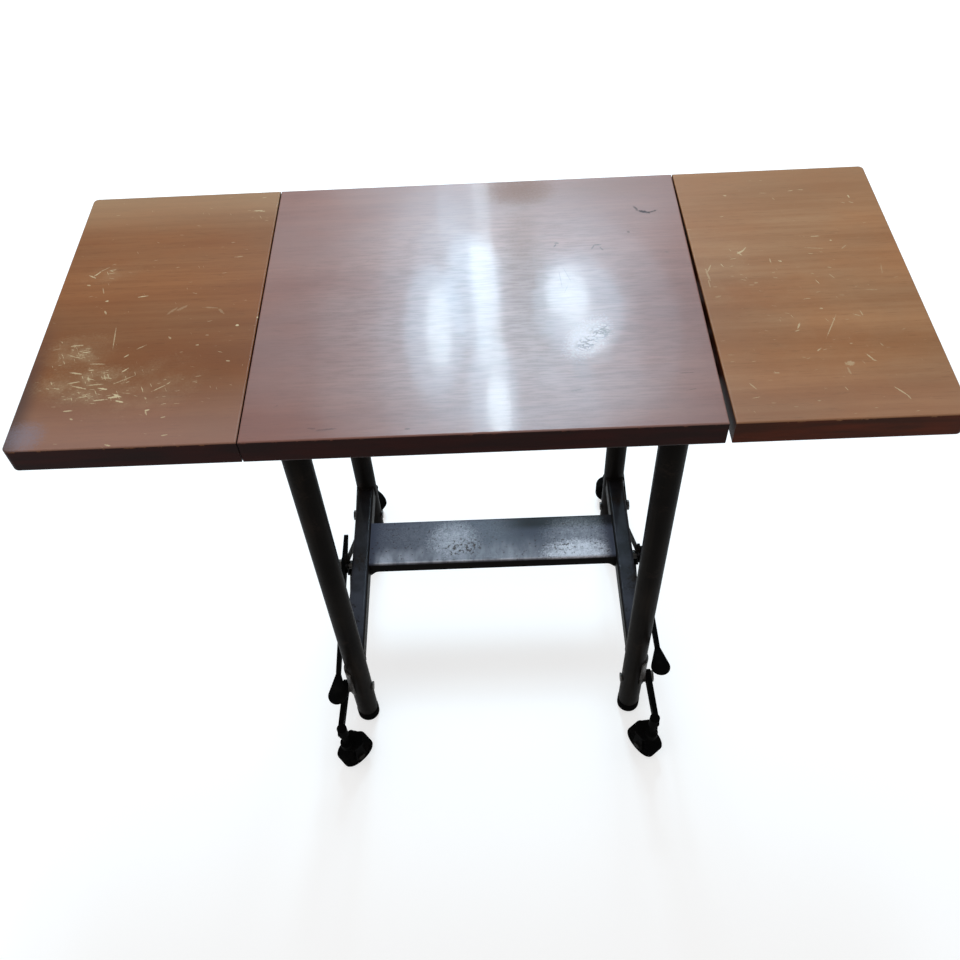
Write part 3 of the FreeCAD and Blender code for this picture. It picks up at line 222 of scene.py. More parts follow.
class TableColours(bpy.types.PropertyGroup):
    """Colours of the table's finishes."""

    panel_light: colour("Panel, light", (0.224, 0.083, 0.053), "Light bands of the middle panel")
    panel_dark: colour("Panel, dark", (0.152, 0.046, 0.029), "Dark bands of the middle panel")
    left_light: colour("Left leaf, light", (0.250, 0.100, 0.037), "Light bands of the left leaf")
    left_dark: colour("Left leaf, dark", (0.172, 0.056, 0.017), "Dark bands of the left leaf")
    right_light: colour("Right leaf, light", (0.330, 0.158, 0.070), "Light bands of right leaf")
    right_dark: colour("Right leaf, dark", (0.232, 0.091, 0.033), "Dark bands of right leaf")
    edge: colour("Edge", (0.010, 0.0016, 0.0010), "Stained edges of the boards")
    bare_wood: colour("Bare wood", (0.560, 0.430, 0.250), "Wood under the scratched varnish")
    enamel: colour("Enamel", (0.0058, 0.0050, 0.0045), "Dark enamel of the legs and rails")
    shelf: colour("Shelf", (0.050, 0.052, 0.070), "Enamel of the shelf")
    # This colour also paints the highlight along the shelf's front fold.
    shelf_worn_and_highlight: colour("Shelf, worn", (0.600, 0.580, 0.615), "Rubbed patches of the shelf")
    rust: colour("Rust", (0.035, 0.018, 0.013), "Rust on the shelf")
    black: colour("Black", (0.0025, 0.0025, 0.0025), "Enamel of the pedals, arms and forks")
    plate: colour("Plate", (0.050, 0.047, 0.044), "Zinc plate of the screws and pins")
    rubber: colour("Rubber", (0.003, 0.003, 0.003), "Rubber of the feet and wheels")


class TableSizes(bpy.types.PropertyGroup):
    """Sizes of the added details."""

    weld_radius: length("Weld radius", 1.7 * MM, "Radius of the weld beads")
    weld_pitch: length("Weld pitch", 3.1 * MM, "Distance between two ripples of a weld bead")
    face_relief: length("Wheel face relief", 1.6 * MM, "Height of the ribs on a wheel face")
    face_ribs: IntProperty(name="Wheel face ribs", description="Ribs on one wheel face",
                           default=8, min=3, max=24)


class TableStudio(bpy.types.PropertyGroup):
    """Light and floor."""

    floor_colour: colour("Floor", (0.50, 0.50, 0.50), "Colour of the floor")
    floor_lift: number("Floor lift", 0.62, 1.0, "White added to the floor in view")
    room_light: number("Room light", 0.52, 4.0, "Strength of the light all round")
    window_light: number("Window light", 70.0, 200.0, "Radiance of the window panes")
    sky_light: number("Sky light", 2.2, 20.0, "Radiance of the soft light behind")
    key_light: number("Key light", 0.9, 20.0, "Radiance of the soft front light")
    focal_length: number("Focal length", 36.848, 200.0, "Focal length in millimetres", 10.0)


# ---------------------------------------------------------------- shader helpers


class Graph:
    """A node tree with short calls for the nodes that the finishes use."""

    def __init__(self, tree):
        self.tree = tree

    def node(self, kind, **settings):
        """Add a node and set its properties."""
        made = self.tree.nodes.new(kind)
        for key, value in settings.items():
            setattr(made, key, value)
        return made

    def feed(self, socket, value):
        """Link a socket, or give it a constant."""
        if isinstance(value, bpy.types.NodeSocket):
            self.tree.links.new(value, socket)
        elif socket.type == "RGBA" and len(value) == 3:
            socket.default_value = (*value, 1.0)
        else:
            socket.default_value = value

    def fill(self, made, **values):
        """Feed a node's inputs by their names, with _ for a space."""
        for name, value in values.items():
            self.feed(made.inputs[name.replace("_", " ").title()], value)
        return made

    def math(self, operation, *values, clamp=False):
        """Add a Math node."""
        made = self.node("ShaderNodeMath", operation=operation, use_clamp=clamp)
        for socket, value in zip(made.inputs, values):
            self.feed(socket, value)
        return made.outputs[0]

    def times(self, first, second, clamp=False):
        """Multiply two values."""
        return self.math("MULTIPLY", first, second, clamp=clamp)

    def ramp(self, value, low, high, bottom=0.0, top=1.0):
        """Turn a value smoothly from bottom at low to top at high."""
        made = self.node("ShaderNodeMapRange", interpolation_type="SMOOTHSTEP")
        for socket, given in zip(made.inputs, (value, low, high, bottom, top)):
            self.feed(socket, given)
        return made.outputs[0]

    def mix(self, factor, first, second, blend="MIX"):
        """Mix two colours."""
        made = self.node("ShaderNodeMix", data_type="RGBA", blend_type=blend)
        self.feed(made.inputs[0], factor)
        self.feed(made.inputs[6], first)
        self.feed(made.inputs[7], second)
        return made.outputs[2]

    def tint(self, first, second):
        """Multiply two colours."""
        return self.mix(1.0, first, second, "MULTIPLY")

    def stretch(self, vector, scale, turn=0.0, shift=(0.0, 0.0, 0.0)):
        """Scale, turn and shift a coordinate."""
        made = self.fill(self.node("ShaderNodeMapping"), vector=vector, scale=scale,
                         rotation=(0.0, 0.0, turn), location=shift)
        return made.outputs[0]

    def noise(self, vector, scale=1.0, detail=2.0, roughness=0.5, distortion=0.0, output=0):
        """Add a Noise texture and give its value, or its colour as output 1."""
        made = self.fill(self.node("ShaderNodeTexNoise"), vector=vector, scale=scale,
                         detail=detail, roughness=roughness, distortion=distortion)
        return made.outputs[output]

    def axis(self, vector, letter):
        """Give one coordinate of a vector."""
        made = self.node("ShaderNodeSeparateXYZ")
        self.feed(made.inputs[0], vector)
        return made.outputs[letter]

    def use(self, group, **values):
        """Place a node group and feed its inputs."""
        return self.fill(self.node("ShaderNodeGroup", node_tree=group), **values)


def new_group(name, inputs, outputs):
    """Start a node group with named inputs and outputs."""
    tree = bpy.data.node_groups.new(name, "ShaderNodeTree")
    for title, kind in inputs.items():
        tree.interface.new_socket(name=title, in_out="INPUT", socket_type="NodeSocket" + kind)
    for title, kind in outputs.items():
        tree.interface.new_socket(name=title, in_out="OUTPUT", socket_type="NodeSocket" + kind)
    graph = Graph(tree)
    return graph, graph.node("NodeGroupInput"), graph.node("NodeGroupOutput")


def group_once(name, build):
    """Give a node group, building it the first time that it is asked for."""
    return bpy.data.node_groups.get(name) or build(name)


def build_grain(name):
    """Mahogany: broad bands, finer streaks and short dark pores, all running along x."""
    g, given, out = new_group(
        name, {"Vector": "Vector", "Light": "Color", "Dark": "Color"},
        {"Color": "Color", "Height": "Float"})
    vector, dark = given.outputs["Vector"], given.outputs["Dark"]
    bands = g.noise(g.stretch(vector, (1.1, 17.0, 17.0)), detail=4.0, roughness=0.58,
                    distortion=0.35)
    clouds = g.noise(g.stretch(vector, (5.0, 11.0, 11.0), shift=(3.0, 1.0, 0.0)), detail=3.0)
    streaks = g.noise(g.stretch(vector, (6.0, 190.0, 190.0)), detail=3.0, roughness=0.6)
    pores = g.ramp(g.noise(g.stretch(vector, (60.0, 780.0, 780.0))), 0.56, 0.74)
    tone = g.math("ADD", g.ramp(bands, 0.32, 0.68, 0.2, 0.8),
                  g.ramp(clouds, 0.3, 0.7, -0.2, 0.2), clamp=True)
    body = g.mix(tone, dark, given.outputs["Light"])
    warmth = g.noise(g.stretch(vector, (7.0, 12.0, 12.0), shift=(8.0, 2.0, 0.0)), detail=3.0)
    body = g.tint(body, g.mix(g.ramp(warmth, 0.35, 0.65), COOLER, WARMER))
    shaded = g.mix(g.ramp(streaks, 0.35, 0.68, 0.0, 0.38), body, dark)
    pored = g.mix(g.times(pores, 0.24), shaded, g.tint(dark, PORE))
    g.fill(out, color=pored, height=g.math("SUBTRACT", g.times(streaks, 0.4), pores))
    return g.tree


def build_scratches(name):
    """Short straight scratches at several headings; more and longer ones where Amount is high."""
    g, given, out = new_group(name, {"Vector": "Vector", "Amount": "Float"}, {"Mask": "Float"})
    start = g.math("MULTIPLY_ADD", given.outputs["Amount"], -0.21, 0.80)
    end = g.math("ADD", start, 0.05)
    total = 0.0
    for i, heading in enumerate((3.0, -11.0, 19.0, 66.0)):
        turned = g.stretch(given.outputs["Vector"], (1.0, 1.0, 0.0), math.radians(heading))
        lines = g.noise(g.stretch(turned, (58.0, 640.0, 1.0), shift=(3.7 * i, 1.9 * i, 0.0)),
                        detail=1.0)
        total = g.math("MAXIMUM", total, g.ramp(lines, start, end))
    g.fill(out, mask=total)
    return g.tree


def build_mark(name):
    """One mark: an ellipse with a ragged rim, placed, turned, stretched and softened by inputs."""
    g, given, out = new_group(
        name, {"Vector": "Vector", "Centre": "Vector", "Turn": "Vector", "Reach": "Vector",
               "Rim": "Float"}, {"Mask": "Float"})
    inside = g.node("ShaderNodeMapping", vector_type="TEXTURE")
    for socket, title in zip(inside.inputs, ("Vector", "Centre", "Turn", "Reach")):
        g.feed(socket, given.outputs[title])
    squared = g.node("ShaderNodeVectorMath", operation="DOT_PRODUCT")
    g.feed(squared.inputs[0], inside.outputs[0])
    g.feed(squared.inputs[1], inside.outputs[0])
    ragged = g.noise(given.outputs["Vector"], scale=420.0, detail=3.0, roughness=0.65)
    reach = g.math("MULTIPLY_ADD", ragged, 2.6, squared.outputs["Value"])
    rim = given.outputs["Rim"]
    g.fill(out, mask=g.ramp(reach, g.math("ADD", MARK_EDGE, rim),
                            g.math("SUBTRACT", MARK_EDGE, rim)))
    return g.tree


def build_wear(name):
    """Patchy wear: soft patches broken up by fine specks."""
    g, given, out = new_group(
        name, {"Vector": "Vector", "Patch": "Float", "Speck": "Float", "Amount": "Float"},
        {"Mask": "Float", "Speckle": "Float"})
    patch, speck = (g.noise(given.outputs["Vector"], given.outputs[scale], detail)
                    for scale, detail in (("Patch", 3.0), ("Speck", 2.0)))
    level = g.math("MULTIPLY_ADD", given.outputs["Amount"], -0.5, 0.8)
    mixed = g.math("MULTIPLY_ADD", speck, 0.35, g.times(patch, 0.82))
    g.fill(out, mask=g.ramp(mixed, level, g.math("ADD", level, 0.16)), speckle=speck)
    return g.tree


def patchy_wear(graph, place, patch, speck, amount):
    """Give the mask of worn patches and the fine speckle that breaks them up."""
    made = graph.use(group_once("Patchy Wear", build_wear), vector=place, patch=patch,
                     speck=speck, amount=amount)
    return made.outputs["Mask"], made.outputs["Speckle"]


def new_material(name, roughness, metallic=0.0, specular=0.5, coat_roughness=0.1):
    """Start a material and give its graph, its shader and the object coordinates."""
    material = bpy.data.materials.new(name)
    material.use_nodes = True
    graph = Graph(material.node_tree)
    shader = material.node_tree.nodes["Principled BSDF"]
    graph.fill(shader, roughness=roughness, metallic=metallic, coat_roughness=coat_roughness)
    graph.feed(shader.inputs["Specular IOR Level"], specular)
    place = graph.node("ShaderNodeTexCoord").outputs["Object"]
    return material, graph, shader, place


def surface(graph, shader, colour, roughness, height, strength, distance):
    """Feed the shader's colour and roughness, and turn a height into its normal."""
    made = graph.fill(graph.node("ShaderNodeBump"), strength=strength, distance=distance,
                      height=height)
    graph.fill(shader, base_color=colour, roughness=roughness, normal=made.outputs["Normal"])


def dress(material, names):
    """Give CAD nodes a material in place of the one they came with."""
    for name in names:
        node = frame["nodes"][name]
        node.data.materials.clear()
        node.data.materials.append(material)


def put(name, data):
    """Put a new object into the scene."""
    made = bpy.data.objects.new(name, data)
    bpy.context.scene.collection.objects.link(made)
    return made


def nodes_in_slot(slot):
    """List the CAD nodes that the record gives a material slot."""
    return [part["node"] for part in frame["record"]["subparts"] if part["material_slot"] == slot]


# ---------------------------------------------------------------- wood


def total_mark(graph, place, marks, rim=0.42):
    """Lay a list of marks over each other; a wide rim makes them soft."""
    group = group_once("Mark", build_mark)
    total = 0.0
    for x, y, heading, half_length, half_width, strength in marks:
        made = graph.use(group, vector=place, centre=(x * MM, y * MM, 0.0),
                         turn=(0.0, 0.0, math.radians(heading)),
                         reach=(half_length * MM, half_width * MM, 1000.0), rim=rim)
        total = graph.math("MAXIMUM", total, graph.times(made.outputs[0], strength))
    return total


def board_material(name, light, dark, edge, paint_top, roughness, coat, specular, ripple):
    """Make a board's finish: grain, dark stained edges, and whatever paint_top adds on top.

    The varnish has short brush ripples along x. paint_top takes the graph, the place, the top's
    colour and its mask, and gives the colour, a mask of where the varnish is gone, the depth of
    the scratches and a factor for the coat.
    """
    material, g, shader, place = new_material(name, roughness, specular=specular,
                                              coat_roughness=0.34)
    grain = g.use(group_once("Mahogany Grain", build_grain), vector=place, light=light, dark=dark)
    height = g.axis(place, "Z")
    top = g.ramp(height, TOP_HEIGHT - 1.7 * MM, TOP_HEIGHT - 0.5 * MM)
    face, bare, cut, shine = paint_top(g, place, grain.outputs["Color"], top)
    edge_tone = g.noise(g.stretch(place, (14.0, 14.0, 90.0)), detail=3.0)
    stained = g.mix(g.ramp(edge_tone, 0.3, 0.75, 0.0, 0.6), edge, g.tint(edge, (3.2, 2.2, 1.9)))
    chips, _ = patchy_wear(g, place, patch=70.0, speck=420.0, amount=0.36)
    rim = g.times(g.ramp(height, TOP_HEIGHT - 3.2 * MM, TOP_HEIGHT - 1.0 * MM),
                  g.math("SUBTRACT", 1.0, top))
    chipped = g.mix(g.times(rim, chips), stained, light)
    smudge = g.noise(g.stretch(place, (9.0, 14.0, 9.0)), detail=4.0, roughness=0.6)
    gloss = g.ramp(smudge, 0.3, 0.7, roughness * 0.9, roughness * 1.2)
    worn = g.math("MULTIPLY_ADD", bare, 0.3, gloss, clamp=True)
    rough = g.math("ADD", g.times(worn, top), g.ramp(top, 0.0, 1.0, 0.45, 0.0))
    g.fill(shader, coat_weight=g.times(g.times(top, coat), shine))
    brushed = g.noise(g.stretch(place, (95.0, 330.0, 1.0)), detail=0.5, roughness=0.5)
    swell = g.noise(g.stretch(place, (30.0, 80.0, 1.0)), detail=0.0)
    waves = g.times(g.math("MULTIPLY_ADD", swell, 0.9, brushed), ripple)
    relief = g.math("ADD", g.times(grain.outputs["Height"], 0.2), waves)
    surface(g, shader, g.mix(top, chipped, face), rough, g.math("SUBTRACT", relief, cut), 0.3,
            0.06 * MM)
    return material


def crackle(g, place, where):
    """Give the thin bent cracks of crazed varnish inside a mask."""
    flakes = g.node("ShaderNodeTexVoronoi", feature="DISTANCE_TO_EDGE")
    bent = g.mix(1.0, g.stretch(place, (115.0, 210.0, 1.0), 0.2),
                 g.noise(place, scale=240.0, output=1), "ADD")
    g.fill(flakes, scale=1.0, vector=bent)
    return g.times(g.ramp(flakes.outputs["Distance"], 0.16, 0.04), where)


def panel_stains(g, place, face, top):
    """Add haze, stains, brush lines and a crazed patch to the middle panel's colour."""
    haze = g.noise(g.stretch(place, (4.0, 5.0, 5.0)), detail=3.0)
    hazy = g.mix(g.ramp(haze, 0.35, 0.7, 0.0, 0.22), face, HAZE)
    marks = g.times(total_mark(g, place, PANEL_MARKS), top)
    dirty = g.mix(marks, hazy, DIRT)
    # Brush lines over the middle of the panel: brush marks, and painted ripples that break up the reflections
    # where the highlights fall.
    lines = g.ramp(g.noise(g.stretch(place, (50.0, 430.0, 1.0)), detail=2.5), 0.34, 0.66)
    brushed = total_mark(g, place, BRUSH_AND_GLINT_AREA, 1.7)
    lined_and_glinting = g.mix(brushed, dirty,
                  g.mix(lines, g.tint(dirty, DARK_LINE), g.tint(dirty, LIGHT_LINE)))
    clear = total_mark(g, place, CLEAR_PATCHES, 1.4)
    cleared = g.mix(g.times(clear, 0.8), lined_and_glinting, CLEAR)
    smoky = total_mark(g, place, SMOKY_PATCHES, 1.5)
    smoked = g.mix(g.times(smoky, 0.5), cleared, SMOKE)
    cracks = crackle(g, place, total_mark(g, place, CRAZED_PATCHES, 1.2))
    pale = total_mark(g, place, PALE_PATCH, 1.5)
    crazed = g.mix(g.times(pale, 0.34), smoked, CRAZED)
    cracked = g.mix(g.times(cracks, 0.9), crazed, CRACK)
    dull = g.math("MAXIMUM", g.times(marks, 0.4), g.times(smoky, 0.2))
    troughs = g.times(g.math("SUBTRACT", 1.0, lines), brushed)
    shine = g.times(g.ramp(clear, 0.0, 1.0, 1.0, 0.3), g.ramp(troughs, 0.0, 1.0, 1.06, 0.80))
    shine = g.times(shine, g.ramp(g.math("MAXIMUM", marks, cracks), 0.0, 1.0, 1.0, 0.3))
    return cracked, dull, g.times(cracks, 0.3), shine


class TABLE_OT_panel_varnish(bpy.types.Operator):
    """Varnish the middle panel: glossy reddish mahogany with small dark stains"""

    bl_idname = "table.panel_varnish"
    bl_label = "Varnish the Middle Panel"

    def execute(self, context):
        colours = context.scene.table_colours
        material = board_material(
            "varnished_mahogany", colours.panel_light, colours.panel_dark, colours.edge,
            panel_stains, roughness=0.062, coat=0.64, specular=0.06, ripple=1.3)
        dress(material, ["center_panel"])
        return {"FINISHED"}


class TABLE_OT_leaf_varnish(bpy.types.Operator):
    """Varnish the drop leaves: dull orange-brown mahogany, scratched down to bare wood"""

    bl_idname = "table.leaf_varnish"
    bl_label = "Varnish the Drop Leaves"

    def execute(self, context):
        colours = context.scene.table_colours
        scratches = group_once("Scratches", build_scratches)
        edges = {"left": colours.edge, "right": RIGHT_EDGE}
        marks = {"left": LEFT_LEAF_MARKS, "right": RIGHT_LEAF_MARKS}
        haze = {"left": (0.32, 0.34), "right": (0.12, 0.16)}

        def worn_top(side):
            front_haze, rear_haze = haze[side]

            def paint(g, place, face, top):
                patchy = g.ramp(g.noise(place, scale=48.0, detail=3.0), 0.42, 0.62, 0.35, 1.0)
                field = g.times(total_mark(g, place, RUBBED_PATCHES[side], 1.3), patchy)
                fine = g.use(scratches, vector=place, amount=g.math("ADD", field, 0.12)).outputs[0]
                placed = total_mark(g, place, marks[side])
                bare = g.math("MAXIMUM", g.times(fine, 0.8), placed)
                bare = g.times(g.math("MAXIMUM", bare, g.times(field, 0.26)), top)
                depth = g.axis(place, "Y")
                pale = g.times(g.ramp(depth, 0.110, HALF_DEPTH), rear_haze)
                milky = g.times(g.ramp(depth, -0.095, -HALF_DEPTH), front_haze)
                faded = g.mix(milky, g.mix(pale, face, PALE), MILKY)
                coloured = g.mix(bare, faded, colours.bare_wood)
                if side == "left":
                    # Darker along the left leaf's left end, more towards the front.
                    rim = g.ramp(g.axis(place, "X"), -0.428, LEFT_END, 0.0, 0.75)
                    darker_end_mask = g.times(rim, g.ramp(depth, 0.02, -0.14))
                    coloured = g.mix(darker_end_mask, coloured, DARKER_END)
                    cloudy = total_mark(g, place, CLOUDY_CORNER, 1.2)
                    coloured = g.mix(cloudy, coloured, CLOUD)
                return coloured, bare, g.times(fine, top), 1.0
            return paint

        for side in SIDES:
            light, dark = (getattr(colours, side + tone) for tone in ("_light", "_dark"))
            material = board_material("worn_mahogany_" + side, light, dark, edges[side],
                                      worn_top(side), roughness=0.42, coat=0.16, specular=0.06,
                                      ripple=0.4)
            dress(material, [side + "_leaf"])
        return {"FINISHED"}


# ---------------------------------------------------------------- metal and rubber


def rail_tops(g, place):
    """Give 1 on the rails' upper faces between the legs, fading at their edges."""
    low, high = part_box("right_side_rail")
    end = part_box("rear_right_leg")[0].y
    across, depth = (g.math("ABSOLUTE", g.axis(place, letter)) for letter in "XY")
    height = g.axis(place, "Z")
    top = g.times(g.ramp(height, high.z - 3.5 * MM, high.z - 0.5 * MM),
                  g.ramp(depth, end + 1 * MM, end - 6 * MM))
    return g.times(top, g.times(g.ramp(height, high.z + 1.5 * MM, high.z),
                                g.ramp(across, low.x + 0.5 * MM, low.x + 3 * MM)))


def enamel_material(name, paint, worn, amount, roughness, specular, wear_and_sheen=None):
    """Make chipped, dusty enamel with upright streaks; wear_and_sheen colours the rails' tops as a painted sheen.
    """
    material, g, shader, place = new_material(name, roughness, specular=specular)
    chips, speckle = patchy_wear(g, place, patch=38.0, speck=330.0, amount=amount)
    tone = g.noise(place, scale=11.0, detail=3.0)
    streaks = g.noise(g.stretch(place, (80.0, 80.0, 5.0)), detail=3.0, roughness=0.6)
    uneven = g.mix(g.ramp(tone, 0.3, 0.7), paint, g.tint(paint, (1.7, 1.65, 1.6)))
    uneven = g.mix(g.ramp(streaks, 0.45, 0.75), uneven, g.tint(uneven, (1.7, 1.6, 1.5)))
    # Painted sheen: the rails' tops turn lighter and bluer, most towards the front and in patches.
    if wear_and_sheen:
        top = rail_tops(g, place)
        forward = g.ramp(g.axis(place, "Y"), 0.13, -0.06, 0.3, 1.0)
        patchy = g.ramp(g.noise(place, scale=26.0, detail=4.0), 0.35, 0.65, 0.35, 1.0)
        uneven = g.mix(g.times(top, g.times(forward, patchy)), uneven, wear_and_sheen)
        g.fill(shader, coat_weight=g.times(top, 0.05))
    surface(g, shader, g.mix(chips, uneven, worn),
            g.ramp(speckle, 0.3, 0.7, roughness * 0.85, roughness * 1.25),
            g.math("SUBTRACT", g.times(speckle, 0.3), chips), 0.3, 0.08 * MM)
    return material


class TABLE_OT_frame_enamel(bpy.types.Operator):
    """Paint the legs, rails and links with dark enamel, with a painted sheen on the rails' tops and painted pale
    reflections on the caster brackets
    """

    bl_idname = "table.frame_enamel"
    bl_label = "Enamel the Stand"

    def execute(self, context):
        colours = context.scene.table_colours
        # The rails' tops get a pale blue-grey painted sheen.
        material = enamel_material(
            "painted_steel", colours.enamel, worn=(0.016, 0.012, 0.010), amount=0.32,
            roughness=0.36, specular=0.008, wear_and_sheen=(0.046, 0.047, 0.058))
        dress(material, nodes_in_slot("painted_steel"))
        # Painted reflection: the caster brackets get a lighter enamel with large pale patches where they would
        # catch the light.
        bracket_sheen = enamel_material(
            "bracket_steel_painted_sheen", (0.020, 0.018, 0.017), worn=(0.120, 0.112, 0.106), amount=0.62,
            roughness=0.36, specular=0.05)
        dress(bracket_sheen, [corner + "_caster_bracket" for corner in CORNERS])
        return {"FINISHED"}


class TABLE_OT_black_enamel(bpy.types.Operator):
    """Paint the pedal levers, caster arms and forks black"""

    bl_idname = "table.black_enamel"
    bl_label = "Enamel the Pedals and Forks"

    def execute(self, context):
        colours = context.scene.table_colours
        material = enamel_material("black_enamel", colours.black, worn=(0.008, 0.007, 0.006),
                                   amount=0.3, roughness=0.42, specular=0.002)
        dress(material, nodes_in_slot("black_enamel"))
        return {"FINISHED"}


class TABLE_OT_shelf_enamel(bpy.types.Operator):
    """Paint the shelf blue-grey, worn pale in places, with a painted highlight along its front fold, and specked
    with rust
    """

    bl_idname = "table.shelf_enamel"
    bl_label = "Enamel the Shelf"

    def execute(self, context):
        colours = context.scene.table_colours
        material, g, shader, place = new_material("worn_shelf_steel", 0.4, specular=0.01,
                                                  coat_roughness=0.14)
        low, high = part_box("shelf")
        across, depth, height = (g.axis(place, letter) for letter in "XYZ")
        top = g.ramp(height, high.z - 4.2 * MM, high.z - 0.6 * MM)
        ends = g.ramp(g.math("ABSOLUTE", across), high.x - 0.002, high.x - 0.018)
        forward = g.ramp(depth, high.y - 0.004, low.y + 0.004)
        streaky = g.noise(g.stretch(place, (60.0, 22.0, 1.0)), detail=3.0, roughness=0.6)
        cloud = g.noise(g.stretch(place, (16.0, 26.0, 1.0)), detail=4.0, roughness=0.62)
        # Lighter towards the front, in streaks and clouds.
        lighter_front = g.times(g.math("POWER", forward, 3.0),
                         g.times(g.ramp(streaky, 0.25, 0.75, 0.10, 0.42),
                                 g.ramp(cloud, 0.3, 0.7, 0.7, 1.3)))
        patches = total_mark(g, place, SHELF_PATCHES, 1.5)
        mottle = g.ramp(g.noise(place, scale=120.0, detail=4.0, roughness=0.7),
                        0.3, 0.7, 0.6, 1.15)
        # Painted highlight: a pale line along the fold at the front edge.
        painted_bend_highlight = g.times(g.ramp(depth, low.y + 5.0 * MM, low.y + 2.5 * MM),
                       g.ramp(depth, low.y + 0.6 * MM, low.y + 1.6 * MM))
        # worn gathers the pale worn patches, the lighter front and the painted highlight on the front fold.
        worn = g.math("MAXIMUM", g.times(patches, mottle), lighter_front)
        worn = g.math("MAXIMUM", worn, g.times(painted_bend_highlight, g.ramp(streaky, 0.3, 0.7, 0.3, 0.9)))
        worn = g.times(g.times(worn, ends), top, clamp=True)
        shade = g.times(g.ramp(across, -0.01, 0.06), g.ramp(depth, high.y - 0.028, high.y - 0.014))
        unshaded = g.math("SUBTRACT", 1.0, g.times(shade, 0.9))
        painted = g.mix(g.times(top, unshaded), colours.enamel, colours.shelf)
        wear_and_sheen = g.mix(worn, painted, colours.shelf_worn_and_highlight)
        pitted = total_mark(g, place, PITTED_PATCHES, 1.2)
        rusty, _ = patchy_wear(g, place, patch=210.0, speck=800.0,
                               amount=g.math("MULTIPLY_ADD", pitted, 0.36, 0.27))
        g.fill(shader, coat_weight=g.times(top, 0.05))
        surface(g, shader, g.mix(g.times(rusty, top), wear_and_sheen, colours.rust),
                g.ramp(worn, 0.0, 1.0, 0.5, 0.34), g.math("MULTIPLY_ADD", rusty, -1.0, cloud),
                0.25, 0.1 * MM)
        dress(material, ["shelf"])
        return {"FINISHED"}


class TABLE_OT_hardware_plate(bpy.types.Operator):
    """Plate the hinges, screws, pins, nuts and cross shaft with zinc, and oil the axles dark"""

    bl_idname = "table.hardware_plate"
    bl_label = "Plate the Hardware"

    def execute(self, context):
        colours = context.scene.table_colours
        material, g, shader, place = new_material("plated_hardware", 0.4, metallic=0.9)
        dirty, speckle = patchy_wear(g, place, patch=140.0, speck=900.0, amount=0.45)
        g.fill(shader, metallic=g.ramp(dirty, 0.0, 1.0, 0.95, 0.25))
        surface(g, shader, g.mix(dirty, colours.plate, (0.022, 0.016, 0.013)),
                g.ramp(speckle, 0.3, 0.7, 0.3, 0.52), speckle, 0.2, 0.05 * MM)
        dress(material, nodes_in_slot("plated_hardware"))
        oiled = enamel_material("oiled_steel", (0.006, 0.0052, 0.0045),
                                worn=(0.020, 0.017, 0.014), amount=0.4, roughness=0.5,
                                specular=0.02)
        dress(oiled, [corner + "_caster_axle" for corner in CORNERS])
        return {"FINISHED"}


def rubber_material(rubber):
    """Make dusty black rubber."""
    material, g, shader, place = new_material("black_rubber", 0.62, specular=0.001)
    dust, speckle = patchy_wear(g, place, patch=30.0, speck=520.0, amount=0.5)
    surface(g, shader, g.mix(g.times(dust, 0.5), rubber, (0.009, 0.008, 0.0072)),
            g.ramp(speckle, 0.3, 0.7, 0.5, 0.78), speckle, 0.35, 0.1 * MM)
    return material


class TABLE_OT_rubber(bpy.types.Operator):
    """Give the feet and the caster wheels dusty black rubber"""

    bl_idname = "table.rubber"
    bl_label = "Rubber Feet and Wheels"

    def execute(self, context):
        dress(rubber_material(context.scene.table_colours.rubber), nodes_in_slot("black_rubber"))
        return {"FINISHED"}


# ---------------------------------------------------------------- computed surfaces


def grid_faces(rows, columns, close_rows=False):
    """Join a grid of points into quads; the columns always close, the rows only if asked."""
    row = np.arange(rows if close_rows else rows - 1)[:, None]
    column = np.arange(columns)[None, :]
    next_row = (row + 1) % rows
    next_column = (column + 1) % columns
    quads = np.stack([row * columns + column, next_row * columns + column,
                      next_row * columns + next_column, row * columns + next_column], -1)
    return quads.reshape(-1, 4)


def face_outwards(points, quads):
    """Turn the quads round if the volume that they enclose comes out negative."""
    a, b, c, e = (points[quads[:, i]] for i in range(4))
    volume = np.einsum("ij,ij->i", a, np.cross(b, c)) + np.einsum("ij,ij->i", a, np.cross(c, e))
    return quads if volume.sum() > 0 else quads[:, ::-1]


def make_piece(name, parts, material, body):
    """Make one object out of closed surfaces, each given as its points and its quads."""
    points, quads, start = [], [], 0
    for part_points, part_quads in parts:
        points.append(part_points)
        quads.append(face_outwards(part_points, part_quads) + start)
        start += len(part_points)
    mesh = bpy.data.meshes.new(name)
    mesh.from_pydata(np.concatenate(points).tolist(), [], np.concatenate(quads).tolist())
    mesh.materials.append(material)
    mesh.polygons.foreach_set("use_smooth", np.ones(len(mesh.polygons), bool))
    mesh.validate()
    mesh.update()
    piece = put(name, mesh)
    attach(piece, body)


